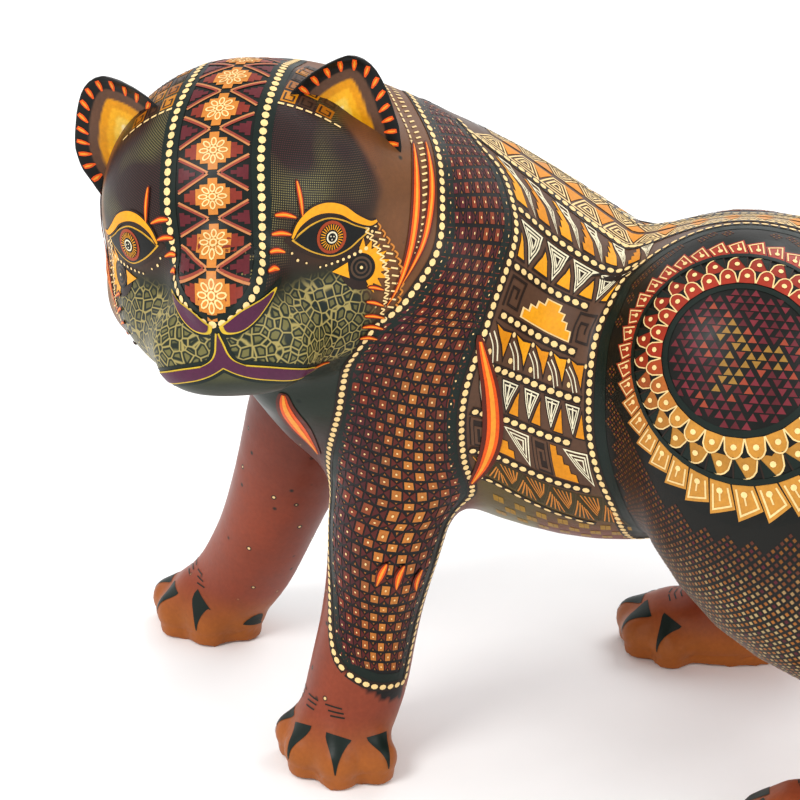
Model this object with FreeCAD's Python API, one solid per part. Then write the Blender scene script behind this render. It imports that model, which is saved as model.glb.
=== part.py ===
"""Carved and painted wooden cat figure, about 45 cm long, glued up from carved blocks.

Millimetres.  +Z is up, the soles stand on Z = 0, the figure faces -Y and its left side is +X.
The body is described by chains of overlapping balls (x, y, z, radius).  Each block is lofted
through closed sections of the smooth skin around its own chains, then let into its neighbour.
"""
import FreeCAD
import Part
import math
import os

Vector = FreeCAD.Vector

# ---------------------------------------------------------------- driving dimensions
RAYS = 32                     # points on every section of a block
BODY_BLEND = 12.0             # how softly neighbouring masses run together
CHAIN_BLEND = 5.0             # the same inside one chain
TOE_BLEND = 4.0               # toes stay separate
SOLE_BAND = 5.0               # height of the upright band just above the soles
PEG_GAP = 0.08                # radial clearance of a plug-in peg in its socket
SEAT_GAP = 0.30               # air between a plug-in piece and the skin it sits on

TRUNK = [(2, -88, 158, 44), (-3, -70, 159, 53), (-5, -49, 149, 55), (-5, -28, 139, 52.5),
         (-3, -10, 135, 50), (-1, 8, 138, 49), (1, 30, 144, 50), (2, 52, 145, 49),
         (0, 74, 140, 45), (-2, 92, 133, 36)]
NECK = [(-3, -70, 160, 53), (10, -86, 175, 55), (26, -98, 192, 50)]

# The head has its own axes: u to its left, v up, w forward, measured from its centre.
HEAD_CENTRE = Vector(48, -121, 208)
HEAD_YAW = 4.0                # degrees, turned from straight left towards the back
HEAD_ROLL = 5.0               # degrees, left ear higher
SKULL = [(4, -3, -18, 46), (0, 0, 0, 47.5)]
CHEEK = [(24, -23, 10, 22), (20, -23, 22, 19)]
BRIDGE = [(0, -2, 22, 22), (0, -7, 48, 15), (0, -10, 58, 8)]
PAD = [(14, -24, 32, 17), (10, -24, 47, 15)]
SNOUT = [(0, -24, 32, 18), (0, -22, 48, 15)]
CHIN = [(0, -33, 32, 15), (0, -32, 48, 8)]
HEAD_REACH = (-62, 62)        # first and last section along w

LEGS = {
    "front_leg_left": dict(
        chain=[(30, -64, 184, 28), (36, -66, 166, 27), (38, -72, 138, 22.5), (36, -77, 113, 19.5),
               (33, -81, 90, 17.5), (29, -85, 68, 15.5), (27, -89, 46, 15), (28, -92, 30, 15),
               (31, -95, 18, 14), (36, -97, 12, 13)],
        instep=(31, -96, 18),
        toes=[(32, -113, 8.5, 7.5), (43, -107, 9, 8), (48, -95, 9, 8), (43, -83, 8.5, 7.5)],
        path=[(0, 36, -97), (14, 35, -96), (28, 29, -92), (46, 27, -89), (68, 29, -85), (90, 33, -81),
              (113, 36, -77), (138, 38, -72), (166, 36, -66), (184, 30, -64), (212, 30, -64)],
        top=211.6, glue_face=(10, 1), dowels=[(-2, 34, -60, 190), (-2, 34, -64, 162)]),
    "front_leg_right": dict(
        chain=[(-36, -72, 172, 24), (-32, -89, 155, 27), (-29, -106, 130, 26), (-31, -119, 104, 21.5),
               (-35, -130, 74, 17.5), (-40, -139, 50, 15.5), (-46, -147, 32, 15), (-49, -155, 19, 14),
               (-47, -163, 12, 13)],
        instep=(-49, -158, 18),
        toes=[(-54, -180, 8.5, 7.5), (-43, -175, 9, 8), (-39, -162, 9, 8), (-45, -150, 8.5, 7.5)],
        path=[(0, -46, -164), (14, -47, -161), (24, -48, -153), (34, -46, -147), (50, -40, -139),
              (74, -35, -130), (104, -31, -119), (130, -29, -106), (155, -32, -89), (172, -36, -72),
              (197, -36, -72)],
        top=195.6, glue_face=(-6, -1), dowels=[(-34, 2, -84, 158), (-30, 2, -100, 136)]),
    "hind_leg_left": dict(
        chain=[(29, 34, 160, 44), (42, 44, 132, 43), (49, 58, 106, 36), (44, 82, 78, 26),
               (38, 102, 54, 19), (35, 110, 36, 15.5), (41, 98, 17, 14), (55, 73, 12.5, 13.5)],
        instep=(54, 72, 16),
        toes=[(55, 50, 8.5, 7.5), (65, 49, 9, 8), (73, 57, 9, 8), (75, 69, 8.5, 7.5)],
        path=[(0, 55, 74), (16, 52, 79), (24, 43, 95), (30, 38, 104), (38, 36, 109), (54, 38, 102),
              (78, 44, 82), (106, 49, 58), (132, 42, 44), (160, 29, 34), (204, 29, 34)],
        top=203.6, glue_face=(6, 1), dowels=[(-4, 34, 22, 172), (-4, 34, 52, 150)]),
    "hind_leg_right": dict(
        chain=[(-30, 32, 145, 41), (-50, 44, 100, 38), (-62, 58, 62, 25), (-66, 56, 34, 17),
               (-65, 42, 16, 14), (-63, 20, 12.5, 13.5)],
        instep=(-63, 20, 16),
        toes=[(-76, 4, 8.5, 7.5), (-68, -3, 9, 8), (-58, 0, 9, 8), (-52, 11, 8.5, 7.5)],
        path=[(0, -64, 20), (16, -64, 24), (23, -65, 40), (34, -66, 54), (62, -62, 58), (100, -50, 44),
              (145, -30, 32), (186, -30, 32)],
        top=185.6, glue_face=(-8, -1), dowels=[(-36, 2, 38, 160), (-36, 2, 34, 130)]),
}
LEG_DOWEL_RADIUS = 4.0
NECK_DOWEL = (Vector(-2, -76, 173), Vector(25, -110, 199), 6.0)

TAIL = [(1, 112, 146, 14), (2, 134, 138, 12.5), (2, 165, 114, 11), (0, 195, 87, 10), (-2, 222, 76, 9.5),
        (-6, 246, 85, 9.5), (-10, 262, 105, 10)]
TAIL_PULL = Vector(0, 0.94, -0.34)
TAIL_PEG = (Vector(1, 120, 143), 4.0, 18.0, 16.0)      # middle, radius, length inside, length in tail

# Ear outline in head axes: height v, inner edge u, outer edge u.
EAR_OUTLINE = [(8, 15, 48.5), (18, 16.5, 49.6), (27, 17.6, 49.8), (34, 18.8, 49.2), (39, 20.6, 48.0),
               (43, 23.8, 46.3), (46, 27.6, 44.2), (48.2, 31.4, 41.8), (49.5, 35.0, 39.4)]
EAR_THICKNESS = 3.4
EAR_HOLLOW = 0.20             # depth of the hollow as a share of the ear's width
EAR_TURN = 0.30               # how far the outer edge lies back
EAR_FRONT = 8.0               # forward position of the ear at u = 35
EAR_PULL = (0.62, 0.78, 0.05)
EAR_PEG = ((36, 30, 1.5), 2.5, 14.0, 6.5)              # on the skull, radius, length inside, in ear
EAR_ROOT = (4.6, 8.5)         # radius and height of the thick root that takes the peg


# ---------------------------------------------------------------- skin around the masses
def refine(chain, steps=3):
    """A smooth curve of balls through the given ones."""
    if len(chain) < 3:
        return [tuple(ball) for ball in chain]
    smooth = []
    for i in range(len(chain) - 1):
        a = chain[max(i - 1, 0)]
        b = chain[i]
        c = chain[i + 1]
        d = chain[min(i + 2, len(chain) - 1)]
        for step in range(steps):
            t = step / steps
            smooth.append(tuple(
                0.5 * (2 * b[k] + (c[k] - a[k]) * t + (2 * a[k] - 5 * b[k] + 4 * c[k] - d[k]) * t * t
                       + (3 * b[k] - a[k] - 3 * c[k] + d[k]) * t ** 3)
                for k in range(4)))
    smooth.append(tuple(chain[-1]))
    return smooth


def blend(a, b, softness):
    overlap = max(softness - abs(a - b), 0.0) / softness
    return min(a, b) - overlap * overlap * softness / 4


def chain_distance(p, chain):
    best = 1e9
    for a, b in zip(chain[:-1], chain[1:]):
        ax, ay, az, ar = a
        dx, dy, dz = b[0] - ax, b[1] - ay, b[2] - az
        px, py, pz = p[0] - ax, p[1] - ay, p[2] - az
        t = (px * dx + py * dy + pz * dz) / max(dx * dx + dy * dy + dz * dz, 1e-9)
        t = min(max(t, 0.0), 1.0)
        px -= t * dx
        py -= t * dy
        pz -= t * dz
        away = math.sqrt(px * px + py * py + pz * pz) - (ar + t * (b[3] - ar))
        best = blend(best, away, CHAIN_BLEND)
    return best


def skin_distance(chains, toes=(), grown=0.0):
    """Distance from a point to the blended skin of some chains."""
    chains = [refine(chain) for chain in chains]

    def distance(p):
        x, y, z = p
        lift = max(SOLE_BAND - z, 0.0) if toes else 0.0
        p = (x, y, z + lift)
        best = 1e9
        for chain in chains:
            best = blend(best, chain_distance(p, chain), BODY_BLEND)
        for toe in toes:
            best = blend(best, chain_distance(p, toe), TOE_BLEND)
        return best + 0.03 * lift * lift - grown
    return distance


def section(centre, across, upward, distance):
    """Row of points where the skin meets the plane through centre."""
    points = []
    for i in range(RAYS):
        angle = 2 * math.pi * i / RAYS
        ray = across * math.cos(angle) + upward * math.sin(angle)
        reach = 0.0
        for step in range(80):
            p = centre + ray * reach
            away = distance((p.x, p.y, p.z))
            if away > -0.01:
                break
            reach -= away * 0.95
        points.append(centre + ray * max(reach, 0.8))
    return points


def skin_solid(rows):
    """Solid inside a smooth skin drawn over rows of points, with a flat cap at each end."""
    around = RAYS // 4
    last = len(rows) - 1
    clamped = [4] + [1] * (last - 3) + [4]
    levels = [float(i) for i in range(last - 1)]
    surface = Part.BSplineSurface()
    surface.buildFromPolesMultsKnots(rows, clamped, [1] * (RAYS + 1), levels,
                                     [float(i) for i in range(RAYS + 1)], False, True, 3, 3)
    faces = []
    rims = ([], [])
    for quarter in range(4):
        patch = surface.copy()
        patch.segment(levels[0], levels[-1], quarter * around, (quarter + 1) * around)
        faces.append(patch.toShape())
        rims[0].append(patch.uIso(levels[0]).toShape())
        rims[1].append(patch.uIso(levels[-1]).toShape())
    for rim in rims:
        faces.append(Part.Face(Part.Wire(rim)))
    shell = Part.makeShell(faces)
    shell.sewShape()
    solid = Part.makeSolid(Part.Shell(shell.Faces))
    if solid.Volume < 0:
        solid.reverse()
    return solid


def along(path, value):
    """Place on a path of (value, a, b) rows, straight between rows."""
    for low, high in zip(path[:-1], path[1:]):
        if value <= high[0]:
            t = (value - low[0]) / (high[0] - low[0])
            return tuple(low[k] + t * (high[k] - low[k]) for k in (1, 2))
    return path[-1][1], path[-1][2]


def ease(first, last, count, start=True, end=True):
    """Even steps that crowd together where the block rounds off."""
    values = []
    for i in range(count + 1):
        t = i / count
        if start and end:
            t = (1 - math.cos(math.pi * t)) / 2
        elif end:
            t = math.sin(math.pi * t / 2)
        values.append(first + t * (last - first))
    return values


# ---------------------------------------------------------------- tools
def rod(start, direction, length, radius):
    return Part.makeCylinder(radius, length, start, direction)


def half_space(point, direction, size=700.0):
    block = Part.makeBox(size, size, size, Vector(-size / 2, -size / 2, 0))
    block.Placement = FreeCAD.Placement(point, FreeCAD.Rotation(Vector(0, 0, 1), direction))
    return block


def one_solid(shape):
    """The main solid of a result, without slivers left by a cut."""
    return max(shape.Solids, key=lambda solid: solid.Volume)


yaw = math.radians(HEAD_YAW)
roll = math.radians(HEAD_ROLL)
level = Vector(-math.sin(yaw), math.cos(yaw), 0)
HEAD_W = Vector(math.cos(yaw), math.sin(yaw), 0)
HEAD_U = level * math.cos(roll) + Vector(0, 0, 1) * math.sin(roll)
HEAD_V = Vector(0, 0, 1) * math.cos(roll) - level * math.sin(roll)


def head_point(u, v, w):
    return HEAD_CENTRE + HEAD_U * u + HEAD_V * v + HEAD_W * w


def head_chain(chain, side=1):
    balls = []
    for u, v, w, radius in chain:
        p = head_point(side * u, v, w)
        balls.append((p.x, p.y, p.z, radius))
    return balls


# ---------------------------------------------------------------- blocks
def make_torso(grown=0.0):
    distance = skin_distance([TRUNK, NECK], grown=grown)
    path = [(-150, 26, 192), (-110, 17, 180), (-88, 4, 162), (-70, -3, 159), (-28, -5, 139),
            (8, -1, 138), (52, 2, 145), (92, -2, 133), (130, -2, 133)]
    sections = []
    for y in ease(-146.5 - grown, 127.5 + grown, 30):
        x, z = along(path, y)
        sections.append(section(Vector(x, y, z), Vector(1, 0, 0), Vector(0, 0, 1), distance))
    return skin_solid(sections)


def make_head(grown=0.0):
    chains = [head_chain(SKULL)]
    for side in (1, -1):
        chains.append(head_chain(CHEEK, side))
    chains += [head_chain(BRIDGE), head_chain(SNOUT), head_chain(CHIN)]
    for side in (1, -1):
        chains.append(head_chain(PAD, side))
    distance = skin_distance(chains, grown=grown)
    path = [(-64, 4, -3), (-18, 4, -3), (0, 0, -2), (30, 0, -10), (46, 0, -20), (62, 0, -19)]
    sections = []
    for w in ease(HEAD_REACH[0] - grown, HEAD_REACH[1] + grown, 26):
        u, v = along(path, w)
        sections.append(section(head_point(u, v, w), HEAD_U, HEAD_V, distance))
    return skin_solid(sections)


def make_leg(leg):
    base = leg["instep"]
    toes = []
    for x, y, z, radius in leg["toes"]:
        knuckle = (0.45 * base[0] + 0.55 * x, 0.45 * base[1] + 0.55 * y, 0.6 * base[2] + 0.4 * z + 1, radius)
        toes.append([knuckle, (x, y, z, radius)])
    distance = skin_distance([leg["chain"]], toes)
    heights = [0, 2.5, 5, 7.5, 10, 12.5, 15, 17.5, 20, 22, 24, 26, 28, 30, 32.5, 36, 41, 48]
    heights += ease(56, leg["top"], 15, start=False)
    sections = []
    for z in heights:
        x, y = along(leg["path"], z)
        sections.append(section(Vector(x, y, z), Vector(1, 0, 0), Vector(0, 1, 0), distance))
    block = skin_solid(sections)
    place, side = leg["glue_face"]
    return one_solid(block.common(half_space(Vector(place, 0, 0), Vector(side, 0, 0))))


def ear_section(v, inner, outer, side):
    """Crescent cut through an ear at one height: back face out, front face home."""
    half = (outer - inner) / 2
    middle = (outer + inner) / 2
    points = []
    count = RAYS // 2
    for face in (-1, 1):
        for i in range(count):
            s = -math.cos(math.pi * (i + 0.5) / count) * -face
            u = middle + half * s
            hollow = EAR_HOLLOW * 2 * half * (1 - s * s)
            thick = 0.5 * EAR_THICKNESS * math.sqrt(1 - s ** 4) * face
            w = EAR_FRONT - EAR_TURN * (u - 35) - hollow + thick
            points.append(head_point(side * u, v, w))
    return points


def make_ear(side, seats):
    shell = skin_solid([ear_section(v, inner, outer, side) for v, inner, outer in EAR_OUTLINE])
    (u, v, w), radius, inside, outside = EAR_PEG
    pull = HEAD_U * (side * EAR_PULL[0]) + HEAD_V * EAR_PULL[1] + HEAD_W * EAR_PULL[2]
    pull.normalize()
    foot = head_point(side * u, v, w)
    root = rod(foot - pull * 5, pull, 5 + EAR_ROOT[1], EAR_ROOT[0])
    peg = rod(foot - pull * inside, pull, inside + outside, radius)
    socket = rod(foot - pull * (inside + 1), pull, inside + outside, radius + PEG_GAP)
    ear = shell.fuse(root)
    for seat in seats:
        ear = one_solid(ear.cut(seat))
    return one_solid(ear.cut(peg)), peg, socket


def make_tail(seat):
    sections = []
    chain = refine(TAIL, 4)
    for i, (x, y, z, radius) in enumerate(chain):
        before = chain[max(i - 1, 0)]
        after = chain[min(i + 1, len(chain) - 1)]
        heading = Vector(after[0] - before[0], after[1] - before[1], after[2] - before[2])
        sections.append(Part.Wire([Part.makeCircle(radius, Vector(x, y, z), heading.normalize())]))
    x, y, z, radius = chain[-1]
    for reach in (0.45, 0.75, 0.92, 0.99):
        ring = radius * math.sqrt(1 - reach * reach)
        sections.append(Part.Wire([Part.makeCircle(ring, Vector(x, y, z) + heading * (radius * reach),
                                                   heading)]))
    middle, radius, inside, outside = TAIL_PEG
    peg = rod(middle - TAIL_PULL * inside, TAIL_PULL, inside + outside, radius)
    socket = rod(middle - TAIL_PULL * (inside + 1), TAIL_PULL, inside + outside, radius + PEG_GAP)
    tail = one_solid(Part.makeLoft(sections, True, False).cut(seat)).cut(peg)
    return one_solid(tail), peg, socket


# ---------------------------------------------------------------- assembly
TAIL_PULL.normalize()
nodes = {}
torso = make_torso()
head = make_head()
for name, leg in LEGS.items():
    nodes[name] = make_leg(leg)
    dowels = []
    for first, last, y, z in leg["dowels"]:
        dowels.append(rod(Vector(first, y, z), Vector(1, 0, 0), last - first, LEG_DOWEL_RADIUS))
    nodes[name.replace("leg", "leg_dowels")] = Part.Compound(dowels)

start, end, radius = NECK_DOWEL
nodes["neck_dowel"] = rod(start, (end - start).normalize(), start.distanceToPoint(end), radius)

head_seat = make_head(SEAT_GAP)
torso_seat = make_torso(SEAT_GAP)
for side, word in ((1, "left"), (-1, "right")):
    ear, peg, socket = make_ear(side, (head_seat, torso_seat))
    nodes["ear_" + word] = ear
    nodes["ear_peg_" + word] = peg
    head = head.cut(socket)
tail, tail_peg, tail_socket = make_tail(torso_seat)
nodes["tail"] = tail
nodes["tail_peg"] = tail_peg

torso = torso.cut(head)
for name in LEGS:
    nodes[name] = one_solid(nodes[name].cut(head).cut(nodes["neck_dowel"]))
    torso = torso.cut(nodes[name])
    dowels = nodes[name.replace("leg", "leg_dowels")]
    nodes[name] = one_solid(nodes[name].cut(dowels))
    torso = torso.cut(dowels)
torso = torso.cut(tail_socket).cut(nodes["neck_dowel"])
nodes["head"] = one_solid(head.cut(nodes["neck_dowel"]))
nodes["torso"] = one_solid(torso)

# The middle of the figure's box, on the floor, is the origin.
box = FreeCAD.BoundBox()
for shape in nodes.values():
    box.add(shape.optimalBoundingBox(True))
shift = Vector(-(box.XMin + box.XMax) / 2, -(box.YMin + box.YMax) / 2, -box.ZMin)
print("box", box.XLength, box.YLength, box.ZLength, "shift", shift)

os.makedirs("parts", exist_ok=True)
for name, shape in nodes.items():
    shape.translate(shift)
    shape.exportStep("parts/" + name + ".step")
    print(name, len(shape.Solids), round(shape.Volume / 1000, 1), shape.isValid())
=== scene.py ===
"""Looks of the carved and painted big cat: skin, painted patterns, ears, tail, light and camera.

Shapes are worked out in millimetres in the carving's own frame and turned to metres where objects
are made.  The figure faces -Y, its left side is +X and its head is turned to its left.
"""

import math

import bpy
import numpy as np
from mathutils import Matrix, Vector
from mathutils.bvhtree import BVHTree


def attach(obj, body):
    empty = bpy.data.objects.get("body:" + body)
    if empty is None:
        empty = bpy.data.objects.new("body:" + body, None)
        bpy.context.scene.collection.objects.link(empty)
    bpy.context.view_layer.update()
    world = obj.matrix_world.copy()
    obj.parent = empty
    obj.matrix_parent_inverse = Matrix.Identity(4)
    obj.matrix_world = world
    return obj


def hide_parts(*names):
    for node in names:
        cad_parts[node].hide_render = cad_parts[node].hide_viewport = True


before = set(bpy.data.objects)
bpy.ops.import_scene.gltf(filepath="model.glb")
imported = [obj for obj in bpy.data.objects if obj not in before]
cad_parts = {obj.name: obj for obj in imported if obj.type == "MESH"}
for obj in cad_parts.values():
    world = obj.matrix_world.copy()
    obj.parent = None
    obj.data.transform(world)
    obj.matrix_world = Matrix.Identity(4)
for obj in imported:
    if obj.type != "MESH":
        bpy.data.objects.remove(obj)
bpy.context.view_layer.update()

SHIFT = np.array([-10.751065, -42.654140, 0.0])      # carving frame to row frame, mm


def row(points):
    """Carving frame in mm to the row frame in metres."""
    return (np.asarray(points, float) + SHIFT) * 0.001


# ---------------------------------------------------------------- the carving's own frame, mm
TRUNK = [(2, -88, 158, 44), (-3, -70, 159, 53), (-5, -49, 149, 55), (-5, -28, 139, 52.5),
         (-3, -10, 135, 50), (-1, 8, 138, 49), (1, 30, 144, 50), (2, 52, 145, 49),
         (0, 74, 140, 45), (-2, 92, 133, 36)]
NECK = [(-3, -70, 160, 53), (10, -86, 175, 55), (26, -98, 192, 50)]
THROAT = [(28, -96, 137, 20), (50, -103, 158, 18)]
SKULL = [(4, -3, -18, 45), (0, 1.8, 0, 46)]
CHEEK = [(25, -20.5, 9, 21), (21, -21, 21, 18.5)]
BRIDGE = [(0, -2, 22, 22), (0, -7, 48, 15), (0, -10, 58, 8)]
PAD = [(14, -24, 32, 17), (10, -24, 47, 15)]
SNOUT = [(0, -24, 32, 18), (0, -22, 48, 15)]
CHIN = [(0, -29.5, 30, 14), (0, -30, 48, 8)]
LEG_CHAINS = {
    "front_leg_left": [(30, -64, 184, 28), (36, -66, 166, 27), (38, -72, 138, 22.5), (36, -77, 113, 19.5),
                       (33, -81, 90, 17.5), (29, -85, 68, 15.5), (27, -89, 46, 15), (28, -92, 30, 15),
                       (31, -95, 18, 14), (36, -97, 12, 13)],
    "front_leg_right": [(-36, -72, 172, 24), (-32, -89, 155, 27), (-29, -106, 130, 26),
                        (-31, -119, 104, 21.5), (-35, -130, 74, 17.5), (-40, -139, 50, 15.5),
                        (-46, -147, 32, 15), (-49, -155, 19, 14), (-47, -163, 12, 13)],
    "hind_leg_left": [(29, 34, 160, 44), (42, 44, 132, 43), (49, 58, 106, 36), (44, 82, 78, 26),
                      (38, 102, 54, 19), (35, 110, 36, 15.5), (41, 98, 17, 14), (55, 73, 12.5, 13.5)],
    "hind_leg_right": [(-30, 32, 145, 41), (-50, 44, 100, 38), (-62, 58, 62, 25), (-66, 56, 34, 17),
                       (-65, 42, 16, 14), (-63, 20, 12.5, 13.5)],
}
SIDE_TOE = (8.5, 7.5)        # height and radius of the outer two toes of a paw
MIDDLE_TOE = (9, 8)
TOE_SIZES = (SIDE_TOE, MIDDLE_TOE, MIDDLE_TOE, SIDE_TOE)
PAW_PLACES = {
    "front_leg_left": ((31, -96, 18), ((32, -113), (43, -107), (48, -95), (43, -83))),
    "front_leg_right": ((-49, -158, 18), ((-54, -180), (-43, -175), (-39, -162), (-45, -150))),
    "hind_leg_left": ((54, 72, 16), ((55, 50), (65, 49), (73, 57), (75, 69))),
    "hind_leg_right": ((-63, 20, 16), ((-76, 4), (-68, -3), (-58, 0), (-52, 11))),
}
PAWS = {leg: (base, [(*place, *size) for place, size in zip(places, TOE_SIZES)])
        for leg, (base, places) in PAW_PLACES.items()}
BODY_BLEND = 12.0            # how softly chains run together, mm
FACE_BLEND = 6.5
CHAIN_BLEND = 5.0
TOE_BLEND = 4.0
SOLE_BAND = 5.0              # height under which the soles flatten
FAR = 900.0                  # mm, further than anything on the figure
NOTHING_YET = 1e6

HEAD_CENTRE = np.array([48.0, -121.0, 208.0])
YAW = math.radians(4)
ROLL = math.radians(5)
LEVEL = np.array([-math.sin(YAW), math.cos(YAW), 0])
HEAD_W = np.array([math.cos(YAW), math.sin(YAW), 0])
HEAD_U = LEVEL * math.cos(ROLL) + np.array([0, 0, math.sin(ROLL)])
HEAD_V = np.array([0, 0, math.cos(ROLL)]) - LEVEL * math.sin(ROLL)
HEAD_AXES = np.array([HEAD_U, HEAD_V, HEAD_W])


def refine(chain, steps=3):
    """A smooth curve of balls through the given ones."""
    balls = np.array(chain, float)
    if len(balls) < 3:
        return balls
    smooth = []
    for i in range(len(balls) - 1):
        a = balls[max(i - 1, 0)]
        b = balls[i]
        c = balls[i + 1]
        d = balls[min(i + 2, len(balls) - 1)]
        for step in range(steps):
            t = step / steps
            smooth.append(0.5 * (2 * b + (c - a) * t + (2 * a - 5 * b + 4 * c - d) * t * t
                                 + (3 * b - a - 3 * c + d) * t ** 3))
    smooth.append(balls[-1])
    return np.array(smooth)


def blend(a, b, softness):
    """The smaller of two distances, rounded over where they are nearly equal."""
    overlap = np.maximum(softness - np.abs(a - b), 0) / softness
    return np.minimum(a, b) - overlap * overlap * softness / 4


def chain_distance(p, chain):
    """Distance from points to a chain of balls joined by cones."""
    best = np.full(len(p), NOTHING_YET)
    for a, b in zip(chain[:-1], chain[1:]):
        line = b[:3] - a[:3]
        t = np.clip((p - a[:3]) @ line / max(line @ line, 1e-9), 0, 1)
        away = p - a[:3] - t[:, None] * line
        away = np.sqrt(np.einsum("ij,ij->i", away, away)) - (a[3] + t * (b[3] - a[3]))
        best = blend(best, away, CHAIN_BLEND)
    return best


def head_chain(chain, side=1):
    """Balls given along the head's own axes, in the carving frame."""
    balls = np.array(chain, float)
    balls[:, 0] *= side
    return np.hstack([HEAD_CENTRE + balls[:, :3] @ HEAD_AXES, balls[:, 3:]])


def to_head(p):
    return (p - HEAD_CENTRE) @ HEAD_AXES.T


def from_head(q):
    return HEAD_CENTRE + np.asarray(q, float) @ HEAD_AXES


# ---------------------------------------------------------------- skin around the masses
def shaped(chain_name, chains, toes=()):
    """One carved block: its name, its chains and the toes that sit on it."""
    return chain_name, [np.array(c, float) for c in chains], [np.array(t, float) for t in toes]


def knuckle_of(base, toe):
    """Where a toe leaves the paw."""
    return (0.45 * base[0] + 0.55 * toe[0], 0.45 * base[1] + 0.55 * toe[1], 0.6 * base[2] + 0.4 * toe[2] + 1)


def toe_chains(leg):
    base, toes = PAWS[leg]
    return [[(*knuckle_of(base, toe), toe[3]), toe] for toe in toes]


HEAD_MASSES = [head_chain(SKULL), head_chain(BRIDGE), head_chain(SNOUT), head_chain(CHIN)]
for side in (1, -1):
    HEAD_MASSES += [head_chain(CHEEK, side), head_chain(PAD, side)]
PARTS = [shaped("torso", [refine(TRUNK), refine(NECK), THROAT]), shaped("head", HEAD_MASSES)]
PARTS += [shaped(leg, [refine(LEG_CHAINS[leg])], toe_chains(leg)) for leg in LEG_CHAINS]


def pruned(p, chain, reach=26.0):
    """Distance to a chain where it matters, and a large number elsewhere."""
    low = (chain[:, :3] - chain[:, 3:]).min(0) - reach
    high = (chain[:, :3] + chain[:, 3:]).max(0) + reach
    close = np.all((p > low) & (p < high), axis=1)
    result = np.full(len(p), FAR)
    if close.any():
        result[close] = chain_distance(p[close], chain)
    return result


def skin_distance(points, parts=PARTS):
    """Distance from points to the skin of the whole figure, negative inside."""
    p = np.array(points, float)
    lift = np.maximum(SOLE_BAND - p[:, 2], 0)
    p[:, 2] += lift
    best = np.full(len(p), FAR)
    for name, chains, toes in parts:
        own = np.full(len(p), FAR)
        for chain in chains:
            own = blend(own, pruned(p, chain), FACE_BLEND if name == "head" else BODY_BLEND)
        best = blend(best, own, BODY_BLEND)
    for name, chains, toes in parts:
        for toe in toes:
            best = blend(best, pruned(p, toe), TOE_BLEND)
    return np.maximum(best + 0.03 * lift ** 2, -np.array(points, float)[:, 2])


def skin_normals(points, step=0.4):
    """Outward directions and distances at points near the skin."""
    here = skin_distance(points)
    slope = np.empty((len(points), 3))
    for k in range(3):
        moved = np.array(points, float)
        moved[:, k] += step
        slope[:, k] = (skin_distance(moved) - here) / step
    length = np.linalg.norm(slope, axis=1)
    return slope / np.maximum(length, 1e-6)[:, None], here / np.maximum(length, 0.3)


def grown_mesh(pitch):
    """Quads around the zero level of the skin distance on a grid (surface nets)."""
    low = np.array([-100.0, -198.0, -2 * pitch])
    high = np.array([124.0, 142.0, 266.0])
    counts = np.ceil((high - low) / pitch).astype(int) + 1
    grid = np.indices(counts).reshape(3, -1).T
    inside = np.empty(len(grid), bool)
    block = 400000
    for first in range(0, len(grid), block):
        inside[first:first + block] = skin_distance(low + grid[first:first + block] * pitch) < 0
    inside = inside.reshape(counts)
    low_corner = inside[:-1, :-1, :-1]
    mixed = np.zeros_like(low_corner)
    for dx in (0, 1):
        for dy in (0, 1):
            for dz in (0, 1):
                corner = inside[dx:dx + counts[0] - 1, dy:dy + counts[1] - 1, dz:dz + counts[2] - 1]
                mixed |= corner != low_corner
    number = np.full(mixed.shape, -1)
    number[mixed] = np.arange(mixed.sum())
    points = low + (np.argwhere(mixed) + 0.5) * pitch
    quads = []
    for axis in range(3):
        a, b = [k for k in range(3) if k != axis]
        first = inside.take(range(counts[axis] - 1), axis)
        change = first != inside.take(range(1, counts[axis]), axis)
        at = np.argwhere(change)
        at = at[(at[:, a] > 0) & (at[:, b] > 0) & (at[:, a] < counts[a] - 1) & (at[:, b] < counts[b] - 1)]
        ring = []
        for da, db in ((1, 1), (0, 1), (0, 0), (1, 0)):
            cell = at.copy()
            cell[:, a] -= da
            cell[:, b] -= db
            ring.append(number[cell[:, 0], cell[:, 1], cell[:, 2]])
        ring = np.array(ring).T
        outward = first[at[:, 0], at[:, 1], at[:, 2]]
        if axis == 1:
            outward = ~outward
        ring[~outward] = ring[~outward][:, ::-1]
        quads.append(ring)
    return points, np.vstack(quads)


def relaxed(points, quads, rounds=6):
    """Evens out a grown mesh and lays every vertex on the skin."""
    edges = np.vstack([quads[:, [k, (k + 1) % 4]] for k in range(4)])
    count = sum(np.bincount(edges[:, k], minlength=len(points)) for k in (0, 1))
    for step in range(rounds):
        total = np.zeros_like(points)
        for k in range(3):
            total[:, k] = (np.bincount(edges[:, 0], points[edges[:, 1], k], len(points))
                           + np.bincount(edges[:, 1], points[edges[:, 0], k], len(points)))
        moved = total / np.maximum(count, 1)[:, None] - points
        normals, away = skin_normals(points)
        moved -= np.sum(moved * normals, axis=1)[:, None] * normals
        if step == rounds - 1:
            moved *= 0
        points = points + 0.6 * moved - normals * away[:, None]
    return points


print("growing the skin")
skin_points, skin_quads = grown_mesh(1.9)
skin_points = relaxed(skin_points, skin_quads)
skin_facing, _ = skin_normals(skin_points)
skin_tree = BVHTree.FromPolygons([tuple(p) for p in skin_points], [tuple(q) for q in skin_quads.tolist()])
print("skin", len(skin_points), "points", len(skin_quads), "quads")


# ---------------------------------------------------------------- charts: flat places to places on the skin
def thrown(origins, directions):
    """Where rays leave the skin, going outward from inside."""
    places = np.array(origins, float)
    for i, (start, heading) in enumerate(zip(origins.tolist(), directions.tolist())):
        hit = skin_tree.ray_cast(Vector(start), Vector(heading))[0]
        if hit is not None:
            places[i] = hit
    return places


TRUNK_LINE = refine(TRUNK)
DEGREE = 0.87                # mm of skin per degree around the trunk
HEAD_DEGREE = 0.82           # the same around the head


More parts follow.
